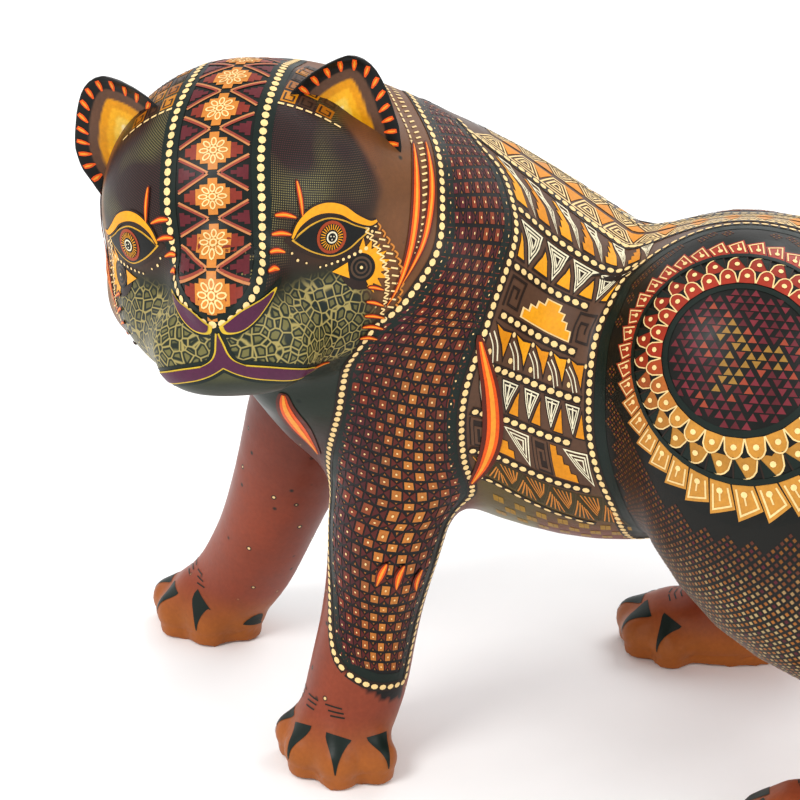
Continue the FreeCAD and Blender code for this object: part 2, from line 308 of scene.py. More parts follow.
def trunk_axis(y):
    """x and z of the trunk's axis."""
    return [np.interp(y, TRUNK_LINE[:, 1], TRUNK_LINE[:, k]) for k in (0, 2)]


def side_chart(side):
    """(y, mm down from the spine) on one flank."""
    def place(flat):
        x, z = trunk_axis(flat[:, 0])
        turn = np.radians(flat[:, 1] / DEGREE)
        origins = np.stack([x, flat[:, 0], z], 1)
        return thrown(origins, np.stack([side * np.sin(turn), 0 * turn, np.cos(turn)], 1))
    return place


def face_chart(flat):
    """(mm around the head from its middle, height v)."""
    turn = np.radians(flat[:, 0] / HEAD_DEGREE)
    origins = from_head(np.stack([0 * turn, flat[:, 1], 0 * turn], 1))
    return thrown(origins, np.stack([np.sin(turn), 0 * turn, np.cos(turn)], 1) @ HEAD_AXES)


def crown_chart(flat):
    """(u, mm back over the crown from the front of the head)."""
    turn = np.radians(flat[:, 1] / HEAD_DEGREE)
    origins = from_head(np.stack([flat[:, 0], 0 * turn, 0 * turn], 1))
    return thrown(origins, np.stack([0 * turn, np.sin(turn), np.cos(turn)], 1) @ HEAD_AXES)


def haunch_chart(side):
    """(across, up) in mm around the middle of the round ornament on one haunch."""
    start = np.array([5.0 * side, 34, 150])
    out = np.array([0.918 * side, 0, 0.396])
    across = np.array([0, 1.0, 0])
    up = np.array([-0.396 * side, 0, 0.918])

    def place(flat):
        reach = np.hypot(flat[:, 0], flat[:, 1])
        turn = reach / 67.0
        pull = np.sin(turn) / np.maximum(reach, 1e-6)
        rays = (np.cos(turn)[:, None] * out + (pull * flat[:, 0])[:, None] * across
                + (pull * flat[:, 1])[:, None] * up)
        return thrown(np.repeat(start[None], len(flat), 0), rays)
    return place


def settled(points, rounds=3):
    """Points moved onto the skin, and the skin's directions there."""
    points = np.array(points, float)
    for step in range(rounds):
        normals, away = skin_normals(points)
        points = points - normals * away[:, None]
    return points, normals


def path_lengths(points):
    """How far along a path each of its points is."""
    return np.concatenate([[0], np.cumsum(np.linalg.norm(np.diff(points, axis=0), axis=1))])


def read_along(at, length, table):
    """Rows of a table, read in between at the given lengths."""
    return np.stack([np.interp(at, length, column) for column in table.T], 1)


def rail(points, spacing=1.5):
    """A smooth line on the skin: places, headings and sideways directions at even steps."""
    coarse = np.array(points, float)
    coarse = np.hstack([coarse, np.zeros((len(coarse), 1))])
    fine = refine(coarse, 8)[:, :3]
    fine, _ = settled(fine)
    for step in range(2):
        length = path_lengths(fine)
        fine = read_along(np.linspace(0, length[-1], max(int(length[-1] / spacing), 2) + 1), length, fine)
        fine[1:-1] = (fine[:-2] + 2 * fine[1:-1] + fine[2:]) / 4
        fine, normals = settled(fine, 2)
    heading = np.gradient(fine, axis=0)
    heading /= np.linalg.norm(heading, axis=1)[:, None]
    sideways = np.cross(normals, heading)
    sideways /= np.linalg.norm(sideways, axis=1)[:, None]
    return path_lengths(fine), fine, sideways, normals


def rail_chart(line):
    """(mm along a rail, mm to its left)."""
    length, places, sideways, normals = line

    def place(flat):
        base = read_along(flat[:, 0], length, places)
        return base + read_along(flat[:, 0], length, sideways) * flat[:, 1:2]
    return place


def level_shares(front, back, rows):
    """Lengths along both rails whose rows lie nearly level."""
    share_down = np.linspace(0, front[0][-1], rows)
    height = np.interp(share_down, front[0], front[1][:, 2])
    top, bottom = front[1][0, 2], front[1][-1, 2]
    wanted = np.interp(height, [bottom, 0.5 * (top + bottom) + 40, top],
                       [back[1][-1, 2], 0.5 * (top + bottom) + 33, back[1][0, 2]])
    falling = np.minimum.accumulate(back[1][:, 2])
    return share_down, np.interp(-wanted, -falling + np.arange(len(falling)) * 1e-6, back[0])


def between_chart(front, back, rows=90, columns=24):
    """(share across from one rail to another, share along), with even steps across the skin."""
    ends = []
    for line, lengths in zip((front, back), level_shares(front, back, rows)):
        ends.append(read_along(lengths, line[0], line[1]))
    across = np.linspace(0, 1, columns)
    table = ends[0][:, None] * (1 - across)[None, :, None] + ends[1][:, None] * across[None, :, None]
    table = settled(table.reshape(-1, 3), 5)[0].reshape(rows, columns, 3)
    for r in range(rows):
        length = path_lengths(table[r])
        table[r] = read_along(across * length[-1], length, table[r])

    def place(flat):
        a = np.clip(flat[:, 0], 0, 0.9999) * (columns - 1)
        b = np.clip(flat[:, 1], 0, 0.9999) * (rows - 1)
        i, j = a.astype(int), b.astype(int)
        a, b = (a - i)[:, None], (b - j)[:, None]
        return ((table[j, i] * (1 - a) + table[j, i + 1] * a) * (1 - b)
                + (table[j + 1, i] * (1 - a) + table[j + 1, i + 1] * a) * b)
    return place


# ---------------------------------------------------------------- paint laid on the skin
def colour(code, strength=0.90, depth=1.16):
    """Linear colour from a painter's hex code, deepened for the bright studio."""
    values = [int(code[k:k + 2], 16) / 255 for k in (0, 2, 4)]
    linear = [v / 12.92 if v <= 0.04045 else ((v + 0.055) / 1.055) ** 2.4 for v in values]
    return strength * np.array(linear) ** depth


CREAM = colour("f6d79c")
WHITE = colour("efe6c8")
GOLD = colour("dd9416")
SUN = colour("eda81e")
AMBER = colour("c07818")
FLAME = colour("ee6418")
GLOW = colour("f6a63a")
RED = colour("a83c26")
RUST = colour("8c3a22")
MAROON = colour("64242c")
PURPLE = colour("5c2848")
BLACK = colour("12120f")
NIGHT = colour("16261f")
BROWN = colour("5e4433")
UMBER = colour("33241b")
TAN = colour("d08a3c")
LAYER = 0.11                 # mm of height for each coat of paint


class Paint:
    """Small flat shapes laid on the skin, coat over coat."""

    def __init__(self, name, body="figure", skin=True):
        self.name = name
        self.body = body
        self.skin = skin
        self.charts = []
        self.quads = []
        self.count = 0

    def grid(self, chart, flat, columns, tint, coat):
        """A net of flat points, row by row, becomes quads."""
        rows = len(flat) // columns
        number = self.count + np.arange(rows * columns).reshape(rows, columns)
        self.quads.append(np.stack([number[:-1, :-1], number[:-1, 1:], number[1:, 1:], number[1:, :-1]],
                                   -1).reshape(-1, 4))
        tints = np.broadcast_to(np.asarray(tint, float), (len(flat), 3))
        self.charts.append((chart, np.asarray(flat, float), tints, coat))
        self.count += len(flat)

    def patch(self, chart, corners, tint, coat, step=2.6, size=1.0):
        """Four-sided shape; two equal corners make a triangle."""
        a, b, c, d = [np.array(p, float) for p in corners]
        n = int(np.ceil(max(np.abs(b - a).max(), np.abs(c - d).max()) * size / step)) + 1
        m = int(np.ceil(max(np.abs(d - a).max(), np.abs(c - b).max()) * size / step)) + 1
        s, t = np.meshgrid(np.linspace(0, 1, n), np.linspace(0, 1, m))
        s, t = s.reshape(-1, 1), t.reshape(-1, 1)
        flat = (a * (1 - s) + b * s) * (1 - t) + (d * (1 - s) + c * s) * t
        self.grid(chart, flat, n, tint, coat)

    def box(self, chart, left, low, right, high, tint, coat, size=1.0):
        self.patch(chart, [(left, low), (right, low), (right, high), (left, high)], tint, coat, size=size)

    def tri(self, chart, a, b, c, tint, coat, size=1.0):
        self.patch(chart, (a, b, c, c), tint, coat, size=size)

    def line(self, chart, points, width, tint, coat, closed=False, step=2.2, shape=(1, 1)):
        """Brush line; width is one number or one for each point, shape gives chart units per mm."""
        points = np.array(points, float)
        shape = np.array(shape, float)
        widths = np.broadcast_to(np.asarray(width, float), (len(points),))
        if closed:
            points = np.vstack([points, points[:1]])
            widths = np.append(widths, widths[0])
        real = points / shape
        length = path_lengths(real)
        keep = np.concatenate([[True], np.diff(length) > 1e-6])
        real, widths, length = real[keep], widths[keep], length[keep]
        steps = np.diff(real, axis=0)
        steps /= np.linalg.norm(steps, axis=1)[:, None]
        before = np.vstack([steps[:1] if not closed else steps[-1:], steps])
        after = np.vstack([steps, steps[-1:] if not closed else steps[:1]])
        normal = np.stack([-(before + after)[:, 1], (before + after)[:, 0]], 1)
        normal /= np.maximum(np.linalg.norm(normal, axis=1), 0.3)[:, None]
        open_turn = np.maximum(np.abs(normal[:, 0] * -before[:, 1] + normal[:, 1] * before[:, 0]), 0.5)
        normal = normal / open_turn[:, None]
        at = [length[0]]
        for low, high in zip(length[:-1], length[1:]):
            count = max(int(np.ceil((high - low) / step)), 1)
            at += list(low + (high - low) * np.arange(1, count + 1) / count)
        at = np.array(at)
        middle = read_along(at, length, real)
        turned = read_along(at, length, normal)
        half = np.interp(at, length, widths)[:, None] / 2
        columns = 2 if half.max() < 1.6 else int(half.max() * 2 / 1.6) + 2
        flat = np.stack([(middle + turned * half * part) * shape for part in np.linspace(1, -1, columns)], 1)
        self.grid(chart, flat.reshape(-1, 2), columns, tint, coat)

    def disc(self, chart, middle, radius, tint, coat, sides=8, shape=(1, 1), turn=0.0):
        """Round or oval dot; radius is one number or two."""
        rx, ry = np.broadcast_to(np.asarray(radius, float), (2,))
        angle = np.arange(sides + 1) * 2 * math.pi / sides
        ring = np.stack([np.cos(angle) * rx, np.sin(angle) * ry], 1)
        if turn:
            ring = ring @ np.array([[math.cos(turn), math.sin(turn)], [-math.sin(turn), math.cos(turn)]])
        inner = 0.0 * ring
        flat = np.array(middle, float) + np.stack([inner, ring], 1).reshape(-1, 2) * np.array(shape, float)
        self.grid(chart, flat, 2, tint, coat)

    def ring(self, chart, middle, inner, outer, tint, coat, sides=48):
        """Round band between two radii."""
        angle = np.arange(sides + 1) * 2 * math.pi / sides
        count = max(int((outer - inner) / 2.5), 1) + 1
        radii = np.linspace(inner, outer, count)
        flat = np.stack([np.array(middle, float) + np.stack([np.cos(angle), np.sin(angle)], 1) * r
                         for r in radii], 1)
        self.grid(chart, flat.reshape(-1, 2), count, tint, coat)

    def area(self, chart, outline, tint, coat, layers=3):
        """Filled closed outline, star-shaped about its middle."""
        outline = np.array(outline, float)
        outline = np.vstack([outline, outline[:1]])
        middle = outline[:-1].mean(0)
        flat = np.stack([middle + (outline - middle) * share for share in np.linspace(0, 1, layers + 1)], 1)
        self.grid(chart, flat.reshape(-1, 2), layers + 1, tint, coat)

    def flame(self, chart, points, width, coat):
        """Long brush mark: dark edge, orange body, bright core."""
        points = smooth_line(points)
        along = np.linspace(0, 1, len(points))
        swell = np.sin(math.pi * along ** 0.85) ** 0.8
        self.line(chart, points, width * (0.22 + 1.05 * swell), RUST * 0.5, coat)
        inner = points[1:-1]
        swell = swell[1:-1]
        self.line(chart, inner, width * 0.74 * swell, FLAME, coat + 1)
        self.line(chart, inner, width * 0.30 * swell, GLOW, coat + 2)

    def build(self):
        """The mesh object, ridden by its body."""
        places = np.vstack([chart(flat) for chart, flat, tints, coat in self.charts])
        tints = np.vstack([tints for chart, flat, tints, coat in self.charts])
        coats = np.concatenate([np.full(len(flat), coat) for chart, flat, tints, coat in self.charts])
        if self.skin:
            places, normals = settled(places, 2)
        else:
            places, normals = places[:, :3], places[:, 3:]
        places = places + normals * (LAYER * coats)[:, None]
        quads = np.vstack(self.quads)
        return mesh_piece(self.name, places, quads, normals, self.body, tints)


def about(middle, radius, angle):
    """The point at an angle on a circle."""
    return (middle[0] + radius * math.cos(angle), middle[1] + radius * math.sin(angle))


def smooth_line(points, steps=6):
    """A flat smooth curve through the given points."""
    points = np.array(points, float)
    return refine(np.hstack([points, np.zeros((len(points), 4 - points.shape[1]))]), steps)[:, :2]


def colour_on(mesh, name, tints):
    """A colour on every vertex, for a material to read."""
    rgba = np.hstack([tints, np.ones((len(tints), 1))])
    mesh.attributes.new(name, "FLOAT_COLOR", "POINT").data.foreach_set("color", rgba.ravel())


def vector_on(mesh, name, vectors):
    """Three numbers on every vertex, for a material to read."""
    mesh.attributes.new(name, "FLOAT_VECTOR", "POINT").data.foreach_set("vector", vectors.ravel())


def mesh_piece(name, places, quads, normals, body, tints=None, replaces=(), material=None):
    """Makes an object from carving-frame points and quads; a quad with two equal ends is a triangle."""
    used = np.zeros(len(places), bool)
    used[quads.ravel()] = True
    number = np.cumsum(used) - 1
    places, normals = places[used], normals[used]
    faces = []
    centre = places[number[quads]]
    facing = np.cross(centre[:, 2] - centre[:, 0], centre[:, 3] - centre[:, 1])
    backward = np.sum(facing * normals[number[quads]].sum(1), axis=1) < 0
    for quad, flip in zip(number[quads].tolist(), backward.tolist()):
        corners = []
        for corner in quad:
            if corner not in corners:
                corners.append(corner)
        if flip:
            corners.reverse()
        if len(corners) > 2:
            faces.append(corners)
    mesh = bpy.data.meshes.new(name)
    mesh.from_pydata(row(places).tolist(), [], faces)
    mesh.validate()
    mesh.polygons.foreach_set("use_smooth", [True] * len(mesh.polygons))
    if tints is not None:
        colour_on(mesh, "tint", tints[used])
    mesh.normals_split_custom_set_from_vertices(normals.tolist())
    piece = bpy.data.objects.new(name, mesh)
    bpy.context.scene.collection.objects.link(piece)
    mesh.materials.append(material or paint_material)
    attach(piece, body)
    for node in replaces:
        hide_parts(node)
    return piece


# ---------------------------------------------------------------- materials
class Nodes:
    """Short calls for building one node material."""

    def __init__(self, name, roughness=0.4, coat=0.02):
        self.material = bpy.data.materials.new(name)
        self.material.use_nodes = True
        self.tree = self.material.node_tree
        self.shader = self.tree.nodes["Principled BSDF"]
        self.shader.inputs["Roughness"].default_value = roughness
        self.shader.inputs["Coat Weight"].default_value = coat
        self.shader.inputs["Specular IOR Level"].default_value = 0.2
        self.shader.inputs["Coat Roughness"].default_value = 0.28

    def add(self, kind, **settings):
        node = self.tree.nodes.new("ShaderNode" + kind)
        for key, value in settings.items():
            setattr(node, key, value)
        return node

    def feed(self, socket, value):
        if isinstance(value, bpy.types.NodeSocket):
            self.tree.links.new(value, socket)
        elif isinstance(value, np.ndarray):
            socket.default_value = (*value, 1.0)
        else:
            socket.default_value = value

    def attribute(self, name, output="Vector"):
        return self.add("Attribute", attribute_name=name).outputs[output]

    def split(self, vector):
        node = self.add("SeparateXYZ")
        self.feed(node.inputs[0], vector)
        return node.outputs

    def math(self, operation, a, b=0.0, c=0.0):
        node = self.add("Math", operation=operation)
        for socket, value in zip(node.inputs, (a, b, c)):
            self.feed(socket, value)
        return node.outputs[0]

    def ramp(self, value, low, high, start=0.0, end=1.0):
        node = self.add("MapRange", clamp=True)
        for socket, number in zip(node.inputs, (value, low, high, start, end)):
            self.feed(socket, number)
        return node.outputs[0]

    def mix(self, share, a, b):
        node = self.add("Mix", data_type="RGBA")
        self.feed(node.inputs[0], share)
        self.feed(node.inputs[6], a)
        self.feed(node.inputs[7], b)
        return node.outputs[2]

    def noise(self, vector, scale, detail=3.0):
        node = self.add("TexNoise")
        self.feed(node.inputs["Vector"], vector)
        node.inputs["Scale"].default_value = scale
        node.inputs["Detail"].default_value = detail
        return node.outputs[0]

    def cells(self, vector, scale, feature="F1", randomness=1.0):
        node = self.add("TexVoronoi", feature=feature)
        self.feed(node.inputs["Vector"], vector)
        node.inputs["Scale"].default_value = scale
        node.inputs["Randomness"].default_value = randomness
        return node.outputs["Distance"]

    def hue(self, tint, share, spread=0.3):
        """Lighter and darker by a share around one half."""
        node = self.add("HueSaturation")
        self.feed(node.inputs["Color"], tint)
        self.feed(node.inputs["Value"], self.ramp(share, 0.25, 0.75, 1 - spread, 1 + spread))
        return node.outputs[0]

    def finish(self, tint, height, strength=0.25, depth=0.0002, rough=None):
        self.feed(self.shader.inputs["Base Color"], tint)
        bump = self.add("Bump")
        bump.inputs["Strength"].default_value = strength
        bump.inputs["Distance"].default_value = depth
        self.feed(bump.inputs["Height"], height)
        self.feed(self.shader.inputs["Normal"], bump.outputs[0])
        if rough is not None:
            self.feed(self.shader.inputs["Roughness"], rough)
        return self.material


def place_vector(n):
    """Place on the object in metres, the same for every view."""
    return n.add("TexCoord").outputs["Object"]


def make_paint():
    """Opaque brush paint in the colour each shape carries."""
    n = Nodes("brush_paint", 0.42, 0.02)
    place = place_vector(n)
    streak = n.noise(place, 900.0, 2.0)
    wash = n.noise(place, 130.0, 3.0)
    tint = n.hue(n.hue(n.attribute("tint", "Color"), streak, 0.10), wash, 0.10)
    return n.finish(tint, streak, 0.25, 0.00012, n.ramp(wash, 0.3, 0.7, 0.34, 0.50))


def make_skin(name, fine):
    """Airbrushed ground colour; fine adds woven dots, rosettes and small haloed dots by area."""
    n = Nodes(name, 0.40, 0.03)
    place = place_vector(n)
    wash = n.noise(place, 60.0, 4.0)
    grain = n.noise(place, 700.0, 2.0)
    tint = n.hue(n.hue(n.attribute("ground", "Color"), wash, 0.14), grain, 0.08)
    areas = n.split(n.attribute("areas"))
    height = grain
    dots = n.cells(place, 135.0)
    tint = n.mix(n.math("MULTIPLY", n.ramp(dots, 0.17, 0.10), areas[0]), tint, NIGHT)
    tint = n.mix(n.math("MULTIPLY", n.ramp(dots, 0.085, 0.065), areas[0]), tint, CREAM)
    if fine:
        weave = n.split(n.attribute("weave"))
        a = n.math("SINE", n.math("MULTIPLY", weave[0], 6.2))
        b = n.math("SINE", n.math("MULTIPLY", weave[1], 6.2))
        lattice = n.math("MULTIPLY", a, b)
        patch = n.noise(place, 42.0, 1.0)
        thread = n.mix(n.ramp(patch, 0.45, 0.6), colour("6b3a3a"), colour("a89c62"))
        tint = n.mix(n.math("MULTIPLY", n.ramp(lattice, 0.2, 0.6, 0.0, 0.75), areas[1]), tint, thread)
        edge = n.cells(place, 310.0, "DISTANCE_TO_EDGE", 0.8)
        middle = n.math("MULTIPLY", n.ramp(edge, 0.22, 0.27), areas[2])
        ring = n.math("MULTIPLY", n.ramp(edge, 0.08, 0.11), n.ramp(edge, 0.25, 0.20))
        tint = n.mix(n.math("MULTIPLY", middle, 0.55), tint, colour("8c8450"))
        tint = n.mix(n.math("MULTIPLY", ring, n.math("MULTIPLY", areas[2], 0.9)), tint, NIGHT)
        thin = n.math("MULTIPLY", n.ramp(edge, 0.08, 0.03, 0.0, 0.85), areas[2])
        tint = n.mix(thin, tint, colour("b4a468"))
        height = n.math("ADD", grain, n.math("MULTIPLY", lattice, n.math("MULTIPLY", areas[1], 0.15)))
    return n.finish(tint, height, 0.25, 0.00015, n.ramp(wash, 0.3, 0.7, 0.34, 0.48))


def make_wood():
    """Bare pale wood of the pins, with grain along them."""
    n = Nodes("bare_wood", 0.62, 0.0)
    place = place_vector(n)
    stretch = n.add("Mapping")
    stretch.inputs["Scale"].default_value = (1.0, 0.12, 0.35)
    n.feed(stretch.inputs["Vector"], place)
    grain = n.noise(stretch.outputs[0], 900.0, 5.0)
    pores = n.noise(place, 2600.0, 2.0)
    tint = n.mix(n.ramp(grain, 0.35, 0.7), colour("c9a271"), colour("a87c4c"))
    return n.finish(n.hue(tint, pores, 0.12), grain, 0.35, 0.00015)


def make_tail_paint():
    """Dark painted ground with fine rusty scale marks."""
    n = Nodes("tail_paint", 0.42, 0.03)
    place = place_vector(n)
    wash = n.noise(place, 70.0, 3.0)
    edge = n.cells(place, 170.0, "DISTANCE_TO_EDGE")
    tint = n.mix(n.ramp(edge, 0.12, 0.05, 0.0, 0.6), colour("1b1c18"), colour("7a3426"))
    return n.finish(n.hue(tint, wash, 0.15), wash, 0.25, 0.00015, n.ramp(wash, 0.3, 0.7, 0.36, 0.5))


paint_material = make_paint()
body_skin = make_skin("body_skin", False)
head_skin = make_skin("head_skin", True)
wood_material = make_wood()
tail_material = make_tail_paint()


# ---------------------------------------------------------------- borders of the painted areas
SHOULDER_EDGE = [(7, -63), (15, -54), (18, -47), (26, -42), (35, -39), (45, -40), (56, -43), (67, -46),
                 (80, -50), (93, -52), (109, -52), (129, -51)]          # degrees down, y
HAUNCH_EDGE = [(27, 4), (29, -4), (38, -8), (50, -12), (62, -13), (72, -13), (86, -12), (99, -9),
               (116, -4), (148, 3)]
RUMP_EDGE = [(15.5, 98), (15.5, 72), (15.5, 48), (17, 26), (21, 11)]
BAND_LINES = [(11, 11), (28, 25), (45, 40), (58, 58), (73, 73), (89, 89), (105, 108), (118, 130)]
BAND_SPAN = (-45.0, 2.0)                  # y where the two figures of a band line are read
CHEST_EDGE = [(2, -80, 238), (22, -72, 236), (37, -64, 228), (50, -60, 217), (59, -60, 204), (67, -66, 193),
              (71, -71, 187), (75, -77, 183), (75, -84, 171), (64, -90, 153), (51, -95, 129),
              (42, -98, 106), (40, -99, 83), (40, -99, 59), (42, -97, 47), (44, -93, 42)]
CHEST_EDGE_RIGHT = [(-4, -76, 230), (-18, -70, 224), (-34, -64, 214), (-48, -64, 198), (-56, -72, 182),
                    (-58, -86, 166), (-52, -108, 146), (-45, -126, 126), (-41, -138, 104),
                    (-42, -146, 78), (-47, -153, 54), (-51, -157, 42)]
LEG_BACK = [(39.5, -61.5, 98), (36, -67.5, 80), (32.6, -72.5, 60), (31.5, -75, 45), (32, -77, 34)]
LEG_BACK_RIGHT = [(-44, -102, 100), (-45.5, -116, 76), (-49, -126.6, 52), (-53, -132, 38)]
THIGH_FRONT = [(46, 22, 100), (44, 52, 78), (38, 80, 56), (36, 94, 38)]
THIGH_FRONT_RIGHT = [(-60, 22, 88), (-64, 34, 62), (-66, 40, 40), (-66, 34, 26)]


def side_place(side, degrees, y):
    return side_chart(side)(np.array([[y, degrees * DEGREE]]))[0]


def trunk_edge(side, edge):
    return [side_place(side, degrees, y) for degrees, y in edge]


def border_y(edge, degrees):
    """y of a border at some degrees down from the spine."""
    return np.interp(degrees, [e[0] for e in edge], [e[1] for e in edge])


shoulder_back = {1: rail(trunk_edge(1, SHOULDER_EDGE) + LEG_BACK),
                 -1: rail(trunk_edge(-1, SHOULDER_EDGE[:-1]) + LEG_BACK_RIGHT)}
shoulder_front = {1: rail(CHEST_EDGE), -1: rail(CHEST_EDGE_RIGHT)}
haunch_front = {1: rail(trunk_edge(1, RUMP_EDGE + HAUNCH_EDGE[1:]) + THIGH_FRONT),
                -1: rail(trunk_edge(-1, RUMP_EDGE + HAUNCH_EDGE[1:-1]) + THIGH_FRONT_RIGHT)}


def left_of(points, line):
    """mm to the left of a rail for every point, seen from outside."""
    places, sideways = line[1:3]
    result = np.empty(len(points))
    block = 20000
    for first in range(0, len(points), block):
        p = points[first:first + block]
        apart = ((p[:, None] - places[None]) ** 2).sum(2)
        nearest = apart.argmin(1)
        result[first:first + block] = (np.sqrt(apart[np.arange(len(p)), nearest])
                                       * np.sign(((p - places[nearest]) * sideways[nearest]).sum(1)))
    return result


# ---------------------------------------------------------------- ground colours and areas of the skin
def share(value, low, high):
    """Eased 0 to 1 as a value goes from low to high."""
    t = np.clip((value - low) / (high - low), 0, 1)
    return t * t * (3 - 2 * t)


def over(ground, tint, amount):
    """One tint laid over the ground by an amount at every point."""
    return ground + (np.asarray(tint) - ground) * amount[:, None]


def body_ground(p):
    """Ground colour and (dotted, -, -) areas away from the head."""
    ax, az = trunk_axis(p[:, 1])
    degrees = np.degrees(np.arctan2(np.abs(p[:, 0] - ax), p[:, 2] - az))
    ground = np.repeat(colour("664a38")[None], len(p), 0)
    ground = over(ground, colour("6a5a34"), share(degrees, 104, 122))
    ground = over(ground, colour("8d8668"), share(degrees, 128, 150))
    front = left_of(p, shoulder_front[1])
    front_right = -left_of(p, shoulder_front[-1])
    front = np.where(np.abs(front) < np.abs(front_right), front, front_right)
    back = np.empty(len(p))
    rear = np.empty(len(p))
    for side, chosen in ((1, p[:, 0] > -2), (-1, p[:, 0] <= -2)):
        back[chosen] = -side * left_of(p[chosen], shoulder_back[side])
        rear[chosen] = side * left_of(p[chosen], haunch_front[side])
    leg = share(p[:, 2], 150, 118)
    chest = share(-p[:, 1], 48, 56) * (front < 0)
    ground = over(ground, colour("2c352b"), chest)
    collar = share(p[:, 2], 176, 196) * share(-front, 36, 16) * share(-front, -1, 1)
    ground = over(ground, colour("7c5230"), collar * chest * 0.9)
    terracotta = np.repeat(colour("904830")[None], len(p), 0)
    terracotta = over(terracotta, colour("4f2420"), share(p[:, 2], 60, 140))
    terracotta = over(terracotta, colour("aa662c"), share(p[:, 2], 26, 8))
    leg_front = share(-p[:, 1], 46, 54) * leg
    ground = over(ground, terracotta, leg_front)
    ground = over(ground, colour("15100f"), ((front > 0) & (back > 0) & (p[:, 1] < -20)).astype(float))
    hind = p[:, 1] > -30
    haunch = (rear > 0) & hind & (p[:, 2] > 34)
    under = share(p[:, 2], 112, 92) * hind
    ground = over(ground, terracotta, under)
    ground = over(ground, colour("17160f"), haunch.astype(float))
    dotted = np.clip(chest + leg_front, 0, 1) * (1 - ((front > 0) & (back > 0))) * share(p[:, 2], 20, 34)
    areas = np.stack([dotted, 0 * dotted, 0 * dotted], 1)
    return ground, areas


def head_ground(p):
    """Ground colour and (dotted, woven, rosette) areas of the head."""
    q = to_head(p)
    u, v, w = q.T
    turn = np.degrees(np.arctan2(u, w)) * HEAD_DEGREE
    wide = np.abs(turn + 1)
    ground = np.repeat(colour("1d1f1b")[None], len(p), 0)
    back = share(w, 0, -12) * share(v, 6, 20)
    ground = over(ground, colour("7c5230"), back)
    cheek = share(wide, 36, 46) * share(v, 2, -5)
    ground = over(ground, colour("4a3424"), cheek)
    eye = np.exp(-(((wide - 36) / 16) ** 2 + ((v - 1) / 10) ** 2) * 1.2)
    ground = over(ground, colour("4a3020"), np.clip(eye * 1.3, 0, 1))
    low = share(v, -1, -9) * share(w, 8, 20)
    ground = over(ground, colour("2e3222"), low)
    pads = share(w, 40, 52) * share(v, -6, -14)
    ground = over(ground, colour("5c5c3c"), pads * share(v, -34, -28))
    chin = share(v, -27, -33) * share(w, 20, 34)
    ground = over(ground, colour("343a2c"), chin)
    jaw = share(v, -20, -34) * share(w, 44, 30)
    ground = over(ground, colour("242b22"), jaw * share(wide, 46, 30))
    limit = np.interp(v, [-30, 0, 6, 12, 30], [45, 46, 50, 55, 58])
    ruff = share(wide - limit, 0, 4) * share(v, 38, 26) * share(-w, -34, -22)
    ground = over(ground, colour("7c5230"), ruff * share(v, -44, -26))
    woven = share(v, 5, 12) * share(w, -8, 2) * share(wide, 66, 57)
    woven = np.maximum(woven, share(wide, 22, 18) * share(v, -8, 2) * share(w, 20, 30))
    woven = woven * (1 - np.clip(eye * 1.5, 0, 1))
    woven = np.maximum(woven, 0.75 * np.maximum(ruff * share(v, -44, -26), back))
    lip = np.interp(wide, [0, 5.6, 10, 15, 19, 23, 40], [-23.5, -25.5, -27, -29, -32, -34, -36])
    rosette = share(v, -6, -11) * share(w, 14, 24) * share(v - lip, -1.5, 1.0) * (1 - cheek * 0.6)
    dotted = np.clip(jaw - rosette, 0, 1)
    return ground, np.stack([dotted, woven, rosette], 1)


# ---------------------------------------------------------------- the skin, one piece for each carved block
def nearest_part(points):
    """Index of the block every point belongs to."""
    best = []
    for part in PARTS:
        best.append(skin_distance(points, [part]))
    return np.argmin(np.array(best), axis=0)


belongs = nearest_part(skin_points)
face_part = belongs[skin_quads[:, 0]]
for index, (part, chains, toes) in enumerate(PARTS):
    quads = skin_quads[face_part == index]
    is_head = part == "head"
    piece = mesh_piece("skin_" + part, skin_points, quads, skin_facing, "figure", replaces=(part,),
                       material=head_skin if is_head else body_skin)
    used = np.unique(quads)
    p = skin_points[used]
    body_tint, body_areas = body_ground(p)
    head_tint, head_areas = head_ground(p)
    own = share(skin_distance(p, PARTS[:1]) - skin_distance(p, PARTS[1:2]), -5, 5)
    beside = left_of(p, shoulder_front[1])
    own = own * (1 - share(beside, -3, 3) * (beside < 14)) * share(p[:, 2], 140, 150)
    colour_on(piece.data, "ground", over(body_tint, head_tint, own))
    vector_on(piece.data, "areas", over(body_areas, head_areas, own))
    if is_head:
        q = to_head(p)
        turn = np.degrees(np.arctan2(q[:, 0], q[:, 2])) * HEAD_DEGREE
        rise = np.degrees(np.arctan2(q[:, 1], np.hypot(q[:, 0], q[:, 2]))) * HEAD_DEGREE
        weave = np.stack([turn * 0.87 + rise * 0.5, rise * 0.87 - turn * 0.5, 0 * turn], 1)
        vector_on(piece.data, "weave", weave)


# ---------------------------------------------------------------- borders: bead strings beside dark bands
def bead_string(paint, line, start, end, spacing=2.9, radius=(1.25, 1.0), ground=UMBER, width=3.4):
    """Pale beads on a dark line along a rail."""
    chart = rail_chart(line)
    paint.line(chart, [(start, 0), (end, 0)], width, ground, 2)
    count = int((end - start) / spacing)
    for k in range(count):
        paint.disc(chart, (start + (k + 0.5) * (end - start) / count, 0), radius, CREAM, 3.5)


